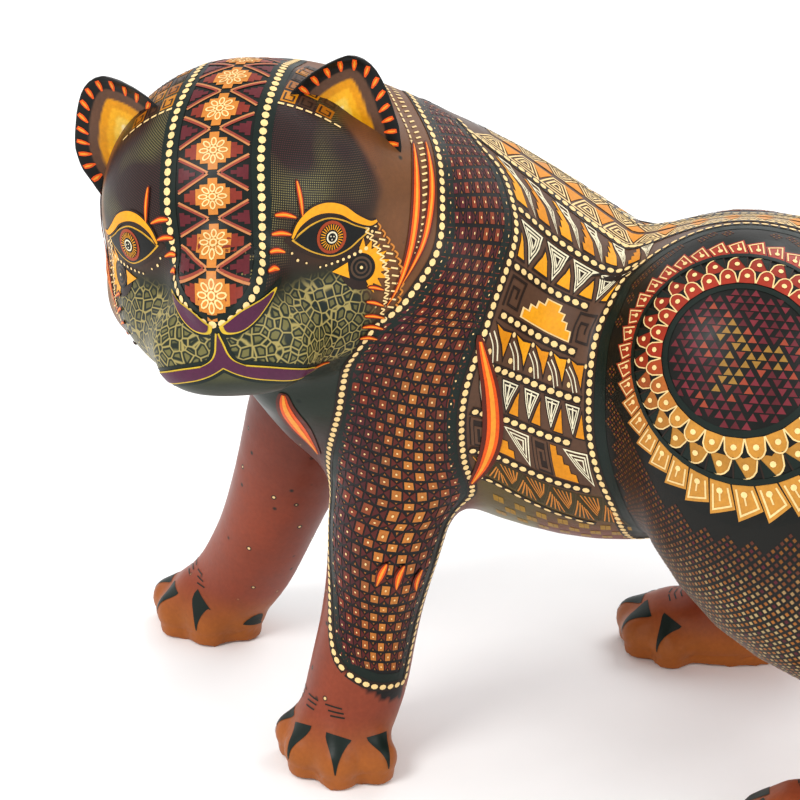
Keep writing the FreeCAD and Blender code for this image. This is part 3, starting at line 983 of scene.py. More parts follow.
for side, word in ((1, "left"), (-1, "right")):
    paint = Paint("borders_" + word)
    for line, inner, band in ((shoulder_front[side], 1, 3.2), (shoulder_back[side], -1, 3.4),
                              (haunch_front[side], 1, 5.0)):
        end = line[0][-1]
        if line is haunch_front[side]:
            end -= 62
        chart = rail_chart(line)
        middle = side * inner * (1.5 + band / 2)
        paint.line(chart, [(0.5, middle), (end - 0.5, middle)], band, NIGHT, 1)
        bead_string(paint, line, 0.5, end - 0.5)
    front_foot = shoulder_front[side][1][-1]
    back_foot = shoulder_back[side][1][-1]
    between = front_foot * 0.5 + back_foot * 0.5 + np.array([6.0 * side, 0, -1])
    low_edge = rail([front_foot, between, back_foot])
    paint.line(rail_chart(low_edge), [(0, 3.2 * side), (low_edge[0][-1], 3.2 * side)], 3.6, NIGHT, 1)
    bead_string(paint, low_edge, 0.5, low_edge[0][-1])
    paint.build()

# ---------------------------------------------------------------- shoulder and foreleg: checks and crosses
COLUMNS = 11
for side, word in ((1, "left"), (-1, "right")):
    paint = Paint("checks_" + word)
    chart = between_chart(shoulder_front[side], shoulder_back[side])
    tall = (shoulder_front[side][0][-1] + shoulder_back[side][0][-1]) / 2
    rows = int(tall / 4.5)
    for j in range(rows):
        for i in range(COLUMNS):
            x = 0.065 + 0.87 * (i + 0.5) / COLUMNS
            y = 0.005 + 0.97 * (j + 0.5) / rows
            half_x = 0.87 / COLUMNS / 2
            half_y = 0.97 / rows / 2
            golden = math.exp(-((x - 0.60) / 0.19) ** 2) * (0.08 + 0.82 * share(y, 0.2, 0.65))
            if (i + j) % 2 == 0:
                tint = MAROON + (RUST - MAROON) * ((i * 7 + j * 3) % 5) / 4
                tint = tint + (TAN - tint) * golden
                across, up = 0.74 * half_x, 0.74 * half_y
                paint.box(chart, x - across, y - up, x + across, y + up, tint, 1)
                paint.disc(chart, (x, y), (0.2 * half_x, 0.2 * half_y), CREAM, 2.5, sides=6)
            else:
                tint = MAROON * 0.62 + (RUST * 0.6 - MAROON * 0.62) * golden
                for way in (-1, 1):
                    paint.tri(chart, (x, y), (x + way * half_x * 0.95, y - 0.8 * half_y),
                              (x + way * half_x * 0.95, y + 0.8 * half_y), tint, 1)
                    paint.tri(chart, (x - 0.22 * half_x, y + way * 0.75 * half_y),
                              (x + 0.22 * half_x, y + way * 0.75 * half_y), (x, y + way * 0.36 * half_y),
                              TAN * 0.55, 1)
    paint.build()


# ---------------------------------------------------------------- flank: seven rows of geometric motifs
def line_degrees(index, y):
    """Degrees down from the spine of one band line."""
    first, last = BAND_LINES[index]
    return first + (last - first) * (y - BAND_SPAN[0]) / (BAND_SPAN[1] - BAND_SPAN[0])


def row_chart(side, upper, count):
    """(cells along a row from shoulder to haunch, share down the row)."""
    on_side = side_chart(side)

    def place(flat):
        degrees = np.full(len(flat), 0.5 * (BAND_LINES[upper][0] + BAND_LINES[upper + 1][0]))
        for step in range(4):
            first = border_y(SHOULDER_EDGE, degrees) + 1.8
            last = border_y(HAUNCH_EDGE, degrees) - 1.8
            y = first + (last - first) * flat[:, 0] / count
            top = line_degrees(upper, y) + 2.0
            bottom = line_degrees(upper + 1, y) - 2.0
            degrees = top + (bottom - top) * flat[:, 1]
        return on_side(np.stack([y, degrees * DEGREE], 1))
    return place


def stairs(paint, chart, left, right, top, bottom, tint, coat):
    """Four steps that climb from left to right against a straight right edge."""
    rise = (bottom - top) / 4
    run = (right - left) / 4
    for k in range(4):
        paint.box(chart, left + k * run, bottom - (k + 1) * rise, right, bottom - k * rise, tint, coat, 9)


THREE_NESTED = (1.0, 0.66, 0.34)
THORN_EDGE = [(0.02, 0.02), (0.5, 0.09), (0.98, 0.04), (0.90, 0.5), (0.86, 0.98), (0.62, 0.62), (0.36, 0.36)]
THORN = [(0.14, 0.08), (0.5, 0.16), (0.88, 0.11), (0.83, 0.5), (0.80, 0.80), (0.62, 0.52), (0.38, 0.30)]


def nested(paint, chart, corners, shares, width, tint, coat, shape):
    """The same outline drawn smaller and smaller."""
    corners = np.array(corners, float)
    middle = corners.mean(0)
    for s in shares:
        paint.line(chart, middle + (corners - middle) * s, width, tint, coat, closed=True, shape=shape)


def moved(points, along):
    """The same flat points further along a row."""
    return [(along + x, y) for x, y in points]


def fret(paint, chart, left, right, width, tint, coat, shape):
    """Square key spiral."""
    w = right - left
    path = [(left, 0.95), (left, 0.05), (right, 0.05), (right, 0.85), (left + 0.28 * w, 0.85),
            (left + 0.28 * w, 0.32), (left + 0.7 * w, 0.32), (left + 0.7 * w, 0.6)]
    paint.line(chart, path, width, tint, coat, shape=shape)


for side, word in ((1, "left"), (-1, "right")):
    paint = Paint("flank_" + word)
    on_side = side_chart(side)
    for index in range(len(BAND_LINES)):
        rows_of_points = []
        for y in np.linspace(-64, 14, 60):
            degrees = line_degrees(index, y)
            if border_y(SHOULDER_EDGE, degrees) + 1 < y < border_y(HAUNCH_EDGE, degrees) - 1:
                rows_of_points.append((y, degrees * DEGREE))
        string = rail(list(on_side(np.array(rows_of_points)))[::6])
        small = index == len(BAND_LINES) - 1
        bead_string(paint, string, 0.5, string[0][-1] - 0.5, radius=(1.35, 0.6) if small else (1.2, 1.0),
                    width=2.0 if small else 3.2, spacing=3.6 if small else 2.9)

    def flank_row(upper, count):
        first, last = BAND_LINES[upper], BAND_LINES[upper + 1]
        tall = (last[0] + last[1] - first[0] - first[1]) / 2 * DEGREE - 3.5
        return row_chart(side, upper, count), (count / 44.0, 1 / tall)

    chart, shape = flank_row(0, 6)
    for i in range(6):
        stairs(paint, chart, i + 0.02, i + 0.60, 0.02, 1.0, UMBER, 1)
        stairs(paint, chart, i + 0.08, i + 0.56, 0.08, 0.93, GOLD if i % 2 else SUN, 2)
        corners = moved([(0.64, 0.03), (1.0, 0.03), (0.88, 0.97)], i)
        nested(paint, chart, corners, (1.0, 0.62, 0.28), 0.42, WHITE, 2, shape)
    chart, shape = flank_row(1, 4)
    for i in range(4):
        paint.tri(chart, (i + 0.02, 0.0), (i + 0.98, 0.0), (i + 0.5, 1.02), UMBER, 1, size=10)
        corners = moved([(0.12, 0.07), (0.88, 0.07), (0.5, 0.88)], i)
        nested(paint, chart, corners, THREE_NESTED, 0.5, WHITE, 2, shape)
    for i in range(5):
        paint.tri(chart, (max(i - 0.36, 0.0), 0.98), (min(i + 0.36, 4.0), 0.98), (i, 0.22),
                  UMBER, 2, size=10)
        paint.tri(chart, (max(i - 0.28, 0.02), 0.92), (min(i + 0.28, 3.98), 0.92), (i, 0.36),
                  SUN, 3, size=10)
    chart, shape = flank_row(2, 1)
    for left, right, drop in ((0.22, 0.74, 0.93), (0.28, 0.68, 0.73), (0.34, 0.62, 0.53),
                              (0.41, 0.55, 0.33)):
        for grown, tint, coat in ((0.018, CREAM, 2), (0.0, SUN, 3)):
            paint.box(chart, left - grown, drop - 0.24 - 2.2 * grown, right + grown,
                      drop + 2.2 * grown * (drop > 0.9), tint, coat, 40)
    for left, right in ((0.02, 0.16), (0.78, 0.97)):
        fret(paint, chart, left, right, 0.8, UMBER, 2, shape)
    chart, shape = flank_row(3, 5)
    for i in range(5):
        paint.area(chart, moved(THORN_EDGE, i), UMBER, 1)
        paint.area(chart, moved(THORN, i), SUN if i % 2 else GOLD, 2)
        arc = smooth_line([(i + 0.08, 0.28), (i + 0.40, 0.55), (i + 0.62, 0.97)])
        paint.line(chart, arc, 0.5, WHITE, 2, shape=shape)
        paint.line(chart, arc + np.array([-0.16, 0.10]), 0.4, WHITE, 2, shape=shape)
        paint.disc(chart, (i + 0.16, 0.82), 0.85, CREAM, 3, shape=shape)
        paint.disc(chart, (i + 1.0, 0.12), 0.7, CREAM, 3, shape=shape)
    chart, shape = flank_row(4, 5)
    for i in range(5):
        paint.tri(chart, (i + 0.02, 0.0), (i + 0.86, 0.0), (i + 0.45, 1.0), UMBER, 1, size=10)
        corners = moved([(0.12, 0.06), (0.76, 0.06), (0.45, 0.84)], i)
        nested(paint, chart, corners, (1.0, 0.62), 0.42, WHITE, 2, shape)
        paint.line(chart, [(i + 0.44, 0.1), (i + 0.45, 0.7)], 0.6, WHITE, 2, shape=shape)
        paint.tri(chart, (i + 0.50, 0.98), (i + 1.0, 0.98), (i + 0.90, 0.08), UMBER, 2, size=10)
        paint.tri(chart, (i + 0.58, 0.93), (i + 0.98, 0.93), (i + 0.89, 0.22), GOLD, 3, size=10)
    chart, shape = flank_row(5, 2)
    for i in range(2):
        paint.box(chart, i + 0.02, 0.03, i + 0.30, 0.97, UMBER, 1, 20)
        fret(paint, chart, i + 0.06, i + 0.26, 0.9, BROWN * 1.3, 2, shape)
        for k in range(4):
            for grown, tint, coat in ((0.012, UMBER, 1), (0.0, GOLD, 2)):
                right = i + 0.44 + 0.085 * k
                paint.box(chart, i + 0.34 - grown, 0.05 + 0.225 * k, right + grown, 0.28 + 0.225 * k,
                          tint, coat, 20)
        corners = moved([(0.58, 0.06), (0.97, 0.06), (0.94, 0.92)], i)
        nested(paint, chart, corners, THREE_NESTED, 0.5, WHITE, 3, shape)
    chart, shape = flank_row(6, 5)
    for i in range(5):
        for flip in (0, 1):
            apex, foot = (0.04, 0.96) if flip else (0.96, 0.04)
            left = i + 0.5 * flip
            tall = apex - foot
            paint.tri(chart, (left + 0.03, foot), (left + 0.97, foot), (left + 0.5, apex), colour("4c4120"),
                      1 + flip, size=10)
            for k in range(5):
                near = 0.12 + 0.16 * k
                far = (left + 0.5 + (near - 0.5) * 0.15 + 0.12 * near, foot + tall * 0.80 * (1 - near * 0.55))
                paint.line(chart, [(left + near, foot + tall * 0.04), far], 0.42, TAN, 2 + flip, shape=shape)
    for k in range(26):
        y = -44 + 1.75 * k
        for j in range(3):
            degrees = 126 + 6 * j + 0.12 * k
            if (k // 2 + j) % 2 == 0:
                paint.box(on_side, y, degrees * DEGREE, y + 1.6, (degrees + 4) * DEGREE, colour("a8822c"), 1)
    paint.flame(on_side, [(-47, 66 * DEGREE), (-43.5, 80 * DEGREE), (-43, 96 * DEGREE), (-46, 110 * DEGREE),
                          (-51, 122 * DEGREE)], 5.0, 5)
    paint.build()

# ---------------------------------------------------------------- spine: frets between two bead strings
paint = Paint("spine")
spine_chart = side_chart(1)
for way in (-1, 1):
    string = rail([side_place(1, way * 11, y) for y in (-59, -40, -20, 0, 20, 40, 60, 80, 98)])
    bead_string(paint, string, 0.5, string[0][-1] - 0.5, radius=(1.15, 0.85))
for k in range(15):
    y = -56 + 10.4 * k
    for sign in (-1, 1):
        frame_line = [(y, sign * 8.0), (y + 3.2, sign * 1.6), (y + 6.6, sign * 1.6), (y + 9.6, sign * 8.0)]
        nested(paint, spine_chart, frame_line, (1.0, 0.62, 0.28), 0.5, CREAM, 2, (1, 1))
        paint.tri(spine_chart, *moved([(6.6, sign * 1.0), (13.0, sign * 1.0), (9.9, sign * 6.8)], y), GOLD, 2)
paint.build()

# ---------------------------------------------------------------- haunch: round ornament and dotted lattice
def polar(radius, angle):
    return (radius * math.cos(angle), radius * math.sin(angle))


def haunch_tint(angle, light=1.0):
    """Red at the top and front, gold underneath."""
    low = share(-math.sin(angle) + 0.15 * math.cos(angle), -0.15, 0.85)
    return (RED + (colour("c89240") - RED) * low) * light


for side, word in ((1, "left"), (-1, "right")):
    paint = Paint("ornament_" + word)
    on_haunch = haunch_chart(side)

    def chart(flat, on_haunch=on_haunch):
        return on_haunch(np.asarray(flat, float) * (1.02, 0.95) + (0, 2.2))

    paint.ring(chart, (0, 0), 0.1, 47, colour("12140e"), 0.5, sides=72)
    paint.ring(chart, (0, 0), 21.6, 23.4, NIGHT, 2)
    paint.ring(chart, (0, 0), 34.6, 36.1, NIGHT, 5)
    pitch = 3.0
    for j in range(-9, 10):
        for i in range(-9, 10):
            x = i * pitch + (j % 2) * pitch / 2
            y = j * pitch * 0.84
            reach = math.hypot(x, y)
            if reach > 20.8:
                continue
            star = math.cos(3 * math.atan2(y, x)) * 4.0
            tint = MAROON * (1.0 + 0.4 * ((i * 5 + j * 3) % 3))
            if reach < 8.5 + star:
                tint = colour("a07a38") if (i + 2 * j) % 3 else colour("8a4030")
            elif reach < 14 + star and (i + j) % 3 == 0:
                tint = colour("a04c34")
            point = 1 if (i + j) % 5 else -1
            foot = y - 1.05 * point
            paint.tri(chart, (x - 1.3, foot), (x + 1.3, foot), (x, y + 1.15 * point), tint, 1.5)
    count = 28
    for k in range(count):
        angle = 2 * math.pi * k / count
        half = math.pi / count
        for base, tall, offset, coat, light in ((29.0, 5.4, half, 1.5, 0.80), (23.8, 5.6, 0.0, 3, 1.0)):
            spread = half * 0.98
            outline = [polar(base, angle + offset + spread)]
            for t in np.linspace(-1, 1, 9)[1:-1]:
                outline.append(polar(base + tall * math.sqrt(1 - t * t), angle + offset - spread * t))
            outline.append(polar(base, angle + offset - spread))
            paint.area(chart, outline, haunch_tint(angle + offset, light), coat, 2)
            paint.line(chart, outline, 0.42, CREAM * 0.9, coat + 1)
            paint.disc(chart, polar(base + tall * 0.45, angle + offset), 0.85, CREAM, coat + 1.2)
        paint.tri(chart, polar(29.2, angle + 0.1 * half), polar(34.6, angle + 0.1 * half),
                  polar(34.4, angle + 1.0 * half), NIGHT, 3)
        paint.line(chart, [polar(29.0, angle), polar(34.7, angle + 0.15 * half)], 0.45, UMBER, 4)
    count = 38
    for k in range(count):
        angle = -2 * math.pi * k / count
        turn = 2 * math.pi / count
        tint = haunch_tint(angle)
        tip = 43.0 + 1.4 * share(-math.sin(angle), 0.0, 1.0)
        blade = [polar(36.3, angle - 0.46 * turn), polar(36.3, angle + 0.46 * turn),
                 polar(tip - 1.6, angle + 0.72 * turn), polar(tip + 1.4, angle - 0.16 * turn)]
        paint.patch(chart, blade, tint, 1.5)
        middle = np.array(blade).mean(0)
        frame_line = middle + (np.array(blade) - middle) * 0.72
        paint.line(chart, frame_line[[0, 3, 2, 1]], 0.5, CREAM * 0.92, 2.5)
        stem = [polar(39.0, angle + 0.06 * turn), polar(41.4, angle + 0.12 * turn)]
        paint.line(chart, stem, 0.45, CREAM * 0.92, 2.5)
        paint.disc(chart, polar(38.6, angle + 0.05 * turn), 0.85, CREAM, 3)
    paint.build()

    paint = Paint("lattice_" + word)
    chart = on_haunch
    pitch = 6.3
    step = 1.42
    nodes_flat = []
    for i in range(-26, 27):
        for j in range(-26, 27):
            x = (i + j) * pitch / 2
            y = (i - j) * pitch / 2 - 10
            if 48 < math.hypot(x, y - 2) < 122:
                nodes_flat.append((x, y))
    nodes_flat = np.array(nodes_flat)
    places = settled(chart(nodes_flat))[0]
    inside = side * left_of(places, haunch_front[side])
    keep = (inside > 8) & (places[:, 2] > 42) & (places[:, 1] > -12) & (places[:, 0] * side > 4)
    for x, y in nodes_flat[keep]:
        low = share(-y, 48, 66) * share(x, -40, 10)
        for a in (-1, 0, 1):
            for b in (-1, 0, 1):
                mx, my = x + (a + b) * step * 0.71, y + (a - b) * step * 0.71
                tint = TAN * 0.3 + (CREAM * 0.5 - TAN * 0.3) * low
                if a == 0 and b == 0:
                    tint = MAROON * 0.9
                elif a * b:
                    tint = (colour("7c4630") + (TAN - colour("7c4630")) * low) * 0.55
                r = 0.58
                paint.patch(chart, [(mx - r, my), (mx, my - r), (mx + r, my), (mx, my + r)], tint, 1)
    paint.build()


# ---------------------------------------------------------------- crown stripe
def crown_middle(degrees):
    """u of the stripe's middle, which wanders a little."""
    return np.interp(degrees, [-4, 24, 53, 86, 130], [-1.6, -2.4, -1.8, 2.0, 3.5])


def crown_degree(degrees):
    """mm of skin per degree along the stripe."""
    return np.interp(degrees, [-4, 20, 45, 70, 130], [1.12, 0.98, 0.86, 0.82, 0.85])


def crown_place(flat):
    u = flat[:, 0] + crown_middle(flat[:, 1])
    return crown_chart(np.stack([u, flat[:, 1] * HEAD_DEGREE], 1))


def crown_edge(way, degrees):
    """A point on one edge of the stripe."""
    half = np.interp(degrees, [-8, -6.5, -4, 0, 20, 60, 90, 130],
                     [4.0, 8.0, 11.3, 13.2, 14.2, 13.8, 12.8, 12.0])
    return (way * half, degrees)


paint = Paint("crown_stripe")
ground = []
for degrees in np.linspace(-8.2, 128, 74):
    half = crown_edge(1, degrees)[0] + 1.5
    ground.append([(s * half, degrees) for s in np.linspace(-1, 1, 14)])
paint.grid(crown_place, np.array(ground).reshape(-1, 2), 14, colour("131a14"), 0.6)
edge_points = [crown_edge(-1, d) for d in (126, 100, 80, 60, 40, 20, 8, 0, -4)]
edge_points += [crown_edge(-1, -6.5), (-3.4, -8.2), (0, -8.6), (3.4, -8.2), crown_edge(1, -6.5)]
edge_points += [crown_edge(1, d) for d in (-4, 0, 8, 20, 40, 60, 80, 100, 126)]
string = rail(list(crown_place(np.array(edge_points, float))))
bead_string(paint, string, 0.5, string[0][-1] - 0.5, radius=(1.25, 1.15), ground=NIGHT, width=5.6)
centres = [-2.0, 10.5, 26.5, 43.5, 61.0, 79.0, 97.5, 116.0]
for k, degrees in enumerate(centres):
    size = float(crown_degree(degrees))
    shape = (1.0, 1.0 / size)
    for wide, tall, tint, coat in ((17.5, 2.9, colour("8e3a2a"), 1.5), (14.0, 5.0, colour("8e3a2a"), 1.5),
                                   (10.4, 5.6, TAN, 2.2), (7.8, 8.4, TAN, 2.3), (2.9, 12.6, TAN, 2.4)):
        high = tall / size / 2
        paint.box(crown_place, -wide / 2, degrees - high, wide / 2, degrees + high, tint, coat)
    for petal in range(8):
        angle = petal * math.pi / 4
        at = (2.9 * math.cos(angle), degrees + 2.9 * math.sin(angle) / size)
        paint.disc(crown_place, at, (1.6, 0.95), CREAM, 3.2, turn=angle, shape=shape)
        paint.disc(crown_place, at, (1.05, 0.5), TAN, 3.8, turn=angle, shape=shape)
    paint.disc(crown_place, (0, degrees), 1.25, CREAM, 3.9, shape=shape)
    paint.disc(crown_place, (0, degrees), 0.72, TAN, 4.4, shape=shape)
    if k + 1 < len(centres):
        gap = centres[k + 1] - degrees
        middle = degrees + gap / 2
        for way in (-1, 1):
            for tint, pull in ((colour("c98a5a"), 0.0), (colour("9c4a3a"), 1.0)):
                for lean in (-1, 1):
                    arm = [(way * (1.5 + pull), middle + lean * 0.2),
                           (way * 10.6, middle + lean * (0.40 * gap) - lean * pull * 0.9)]
                    paint.line(crown_place, arm, 0.75, tint, 2.6 + 0.2 * pull, shape=shape)
            for wide, tall in ((5.2, 1.4), (3.4, 3.4), (1.6, 5.2)):
                x = way * (10.6 - wide / 2)
                high = tall / size / 2
                paint.box(crown_place, x - wide / 2, middle - high, x + wide / 2, middle + high,
                          MAROON * 1.15, 1.6)
paint.build()


# ---------------------------------------------------------------- face
def face_side(way):
    """Face chart mirrored about the middle of the face."""
    def place(flat):
        return face_chart(np.stack([way * (flat[:, 0] + 0.6) - 0.6, flat[:, 1]], 1))
    return place


EYE = [(21.6, 5.6), (24.6, 7.4), (28.5, 8.9), (33.7, 9.3), (38.6, 7.4), (42.2, 4.9), (46.0, 2.4), (42.5, 0.5),
       (38.5, -1.3), (33.5, -1.9), (28.5, 0.2), (24.8, 2.7)]
IRIS = (33.8, 3.7)
paint = Paint("face")
for way in (1, -1):
    chart = face_side(way)
    eye = smooth_line(EYE + EYE[:1], 4)[:-1]
    middle = np.array(EYE).mean(0)
    for size, tint, coat in ((1.30, colour("3a261a"), 1), (1.08, colour("d8a93a"), 2), (1.0, BLACK, 3)):
        paint.area(chart, middle + (eye - middle) * size, tint, coat)
    for radius, tint, coat in ((5.1, colour("a84a22"), 4), (4.1, BLACK, 4.6), (1.85, WHITE, 6.4),
                               (1.35, BLACK, 7.0)):
        paint.disc(chart, IRIS, (radius, radius * 0.97), tint, coat, sides=28)
    for k in range(26):
        angle = k * 2 * math.pi / 26
        paint.line(chart, [about(IRIS, 2.3, angle), about(IRIS, 3.9, angle)], 0.28, SUN, 5.4)
    for angle in (2.3, 0.2, -1.9):
        paint.disc(chart, about(IRIS, 0.62, angle), 0.24, WHITE, 7.6, sides=6)
    brow = smooth_line([(21.0, 6.4), (23.8, 10.0), (28.5, 12.4), (33.8, 12.6), (39.2, 10.6), (43.2, 7.0),
                        (47.4, 4.2), (50.0, 4.2)])
    along = np.linspace(0, 1, len(brow))
    swell = 0.7 + 2.3 * np.sin(math.pi * along) ** 1.3
    paint.line(chart, brow, swell + 1.1, UMBER, 4)
    paint.line(chart, brow, swell, SUN, 5)
    for x, y, r in ((20.2, 2.0, 0.4), (21.8, -0.6, 0.5), (24.6, -2.2, 0.35), (45.8, 0.4, 0.45),
                    (47.6, 1.6, 0.45)):
        paint.disc(chart, (x, y), r, CREAM, 3)
    for k in range(9):
        t = k / 8
        paint.disc(chart, (29.0 + 15.6 * t, -4.6 + 0.2 * t + 1.6 * t * t), 0.34 + 0.3 * t, CREAM, 3)
    sun_middle = (41.8, -8.0)
    paint.disc(chart, sun_middle, 6.8, colour("33221a"), 1.5, sides=24)
    for k in range(9):
        angle = math.radians(-75 + 18.5 * k)
        low, high = angle - 0.17, angle + 0.17
        paint.tri(chart, about(sun_middle, 6.0, low), about(sun_middle, 6.0, high),
                  about(sun_middle, 9.0, angle), SUN, 2.5)
    paint.line(chart, [about(sun_middle, 5.4, a) for a in np.linspace(-1.4, 1.45, 14)], 1.9, SUN, 2.6)
    for radius, tint, coat in ((4.1, BLACK, 3), (3.4, colour("5a4636"), 3.5), (2.7, BLACK, 4),
                               (2.0, colour("5a4636"), 4.5), (1.4, BLACK, 5), (0.5, CREAM, 5.5)):
        paint.disc(chart, sun_middle, radius, tint, coat, sides=20)
    paint.tri(chart, (32.6, -7.0), (38.0, -5.4), (37.6, -10.2), SUN, 2.5)
    for points in ([(26.2, 22.5), (25.9, 17), (25.3, 11.6)], [(16.4, 14.0), (20, 13.6), (23.6, 12.0)],
                   [(14.4, 8.8), (18, 8.6), (21.2, 7.4)], [(12.9, 4.3), (15.5, 4.1), (18.2, 2.8)],
                   [(11.6, 0.4), (13.4, 0.2), (15.2, -1.2)]):
        paint.flame(chart, points, 1.7, 4)
    for points in ([(42.4, -14.4), (44.6, -15.2), (47.4, -16.9)],
                   [(41.0, -18.6), (43.8, -19.8), (46.9, -22.0)],
                   [(39.8, -22.8), (43.2, -24.0), (47.1, -26.1)],
                   [(39.0, -26.4), (42.8, -27.4), (47.0, -29.8)],
                   [(38.6, -30.2), (42.0, -31.0), (45.6, -33.0)]):
        paint.flame(chart, points, 1.25, 4)
    nostril = smooth_line([(0.9, -10.2), (1.6, -12.3), (4.4, -12.7), (7.2, -11.2), (9.9, -8.6), (12.4, -5.4),
                           (8.4, -6.3), (4.4, -7.4), (0.9, -10.2)], 5)[:-1]
    middle = nostril.mean(0)
    paint.area(chart, middle + (nostril - middle) * 1.55, NIGHT, 1.5)
    paint.area(chart, middle + (nostril - middle) * 1.16, colour("d8b83c"), 6)
    paint.area(chart, nostril, PURPLE, 7)
    lip_top = smooth_line([(-0.6, -22.6), (2.2, -24.1), (5.6, -24.9), (10.0, -26.2), (15.1, -28.6),
                           (19.4, -31.6), (23.4, -35.0)])
    lip_low = smooth_line([(-0.6, -24.7), (2.2, -27.0), (5.6, -28.8), (10.0, -30.4), (14.4, -32.3),
                           (18.4, -33.8), (23.4, -35.0)])
    for out, tint, coat in ((1.9, NIGHT, 1.5), (0.5, colour("d8b83c"), 3), (0.0, PURPLE, 4)):
        rows = []
        for top, low in zip(lip_top, lip_low):
            rows.append([(top[0], top[1] + out), (top[0], (top[1] + low[1]) / 2), (low[0], low[1] - out)])
        paint.grid(chart, np.array(rows).reshape(-1, 2), 3, tint, coat)
    spike = smooth_line([(-0.6, -12.6), (0.0, -16.5), (0.6, -20.0), (1.9, -22.6), (4.6, -24.6)])
    for out, tint, coat in ((1.5, NIGHT, 1.6), (0.45, colour("d8b83c"), 3.2), (0.0, PURPLE, 4.2)):
        rows = [[(x + out * 0.9, y), (-0.7, min(y, -13.0))] for x, y in spike]
        paint.grid(chart, np.array(rows).reshape(-1, 2), 2, tint, coat)
    paint.flame(chart, [(21.0, -33.4), (25.0, -35.0), (29.5, -36.2)], 1.6, 2)
    for k in range(12):
        y = 3.5 - 2.35 * k
        x = 45.8 + 2.6 * math.sin(math.pi * k / 11)
        squiggle = [(x, y), (x + 1.0, y - 0.8), (x - 0.2, y - 1.5), (x + 0.9, y - 2.3)]
        paint.line(chart, smooth_line(squiggle, 4), 0.45, CREAM, 3)
        paint.line(chart, [(x + 1.9, y), (x + 3.6, y - 0.9)], 0.5, CREAM, 3)
        hook = smooth_line([(x + 4.2, y), (x + 4.8, y - 1.2), (x + 4.0, y - 2.2)], 4)
        paint.line(chart, hook, 0.5, TAN, 3)
paint.build()


# ---------------------------------------------------------------- ruff, throat and shoulder crescent
def flame_along(paint, line, ends, count, width, coat):
    """Flame mark along a rail, both ends left a little short."""
    stations = [(t * line[0][-1], 0) for t in np.linspace(ends, 1 - ends, count)]
    paint.flame(rail_chart(line), stations, width, coat)


paint = Paint("ruff_and_throat")
for way in (1, -1):
    for points, width in (([(41, -71, 232), (52, -68, 223), (60, -67, 213), (65, -68, 204), (70, -71, 194),
                            (73, -74, 189)], 3.0),
                          ([(37, -68, 231), (48, -64, 222), (55, -63, 215), (61, -64, 207), (66, -67, 200),
                            (69, -70, 195)], 2.6)):
        if way < 0:
            points = [tuple(from_head(to_head(np.array([p]))[0] * np.array([-1, 1, 1]))) for p in points]
        flame_along(paint, rail(points), 0.01, 9, width, 3)
for way in (1, -1):
    chart = rail_chart(shoulder_front[way])
    for k in range(34):
        at = 1.5 + 2.3 * k
        paint.line(chart, [(at, -way * 5.2), (at + 1.0, -way * 7.2)], 0.6, CREAM, 2)
        paint.line(chart, [(at, -way * 9.4), (at + 1.5, -way * 9.4)], 0.7, CREAM, 2)
crescent = rail([(72, -107, 156), (68, -107, 152), (65, -106, 146), (57, -104, 138), (52, -102, 132),
                 (47, -99, 126)])
flame_along(paint, crescent, 0.02, 7, 7.0, 3)
paint.build()


# ---------------------------------------------------------------- claws and brush strokes on the paws
paint = Paint("claws")
for leg in LEG_CHAINS:
    base, toes = PAWS[leg]
    for x, y, z, radius in toes:
        tip = np.array([x, y, z], float)
        ahead = (tip - np.array(knuckle_of(base, (x, y, z)))) * np.array([1, 1, 0])
        ahead /= np.linalg.norm(ahead)
        places = [tip + (radius + 0.5) * (ahead * math.sin(a) + np.array([0, 0, math.cos(a)]))
                  for a in np.radians([-28, 5, 40, 72, 100])]
        line = rail(places, spacing=1.0)
        tall = line[0][-1]
        shares = np.linspace(0.02, 0.98, 12)
        widths = np.array([9.6, 9.2, 7.8, 6.4, 5.2, 4.1, 3.2, 2.4, 1.7, 1.2, 0.8, 0.4]) * radius / 8
        paint.line(rail_chart(line), [(s * tall, 0) for s in shares], widths, NIGHT, 1.5)
    middle = np.array(base, float)
    for x, y, z, radius in toes[:3]:
        ahead = np.array([x, y, z], float) - middle
        ahead[2] = 0
        ahead /= np.linalg.norm(ahead)
        beside = np.array([-ahead[1], ahead[0], 0])
        for k in range(3):
            at = middle + ahead * (11.0 - 2.0 * k) + np.array([0, 0, 5.5 + 1.6 * k])
            stroke = rail([at - beside * 1.9, at, at + beside * 1.9], spacing=1.0)
            paint.line(rail_chart(stroke), [(0, 0), (stroke[0][-1], 0)], 0.55, NIGHT, 1.5)
for bottom, top in (((50, -81, 80), (53, -77, 90)), ((48, -75, 78), (50, -72, 89)),
                    ((43, -69, 75), (45, -67, 85))):
    between = (np.array(top) + np.array(bottom)) / 2 + np.array([1.5, 0, 0])
    flame_along(paint, rail([top, tuple(between), bottom]), 0.0, 7, 2.7, 5)
paint.build()

# ---------------------------------------------------------------- nape: dashes and squares
paint = Paint("nape")
for way in (1, -1):
    for k in range(7):
        u = way * (17.0 + 2.6 * k)
        paint.line(crown_place, [(u - 0.9, 66), (u + 0.9, 66)], 0.8, CREAM, 2, shape=(1, 1 / HEAD_DEGREE))
    for j in range(6):
        for i in range(3):
            u, degrees = way * (18.5 + 5.0 * i), 71.0 + 8.2 * j
            tint = (GOLD, BROWN, AMBER)[(i + 2 * j) % 3] * 0.75
            paint.box(crown_place, u - 2.1, degrees - 3.4, u + 2.1, degrees + 3.4, tint, 1)
            hook = [(u - 1.3, degrees + 2.2), (u - 1.3, degrees - 2.2), (u + 1.3, degrees - 2.2),
                    (u + 1.3, degrees + 1.0), (u, degrees + 1.0)]
            paint.line(crown_place, hook, 0.45, UMBER, 2, shape=(1, 1 / HEAD_DEGREE))
paint.build()


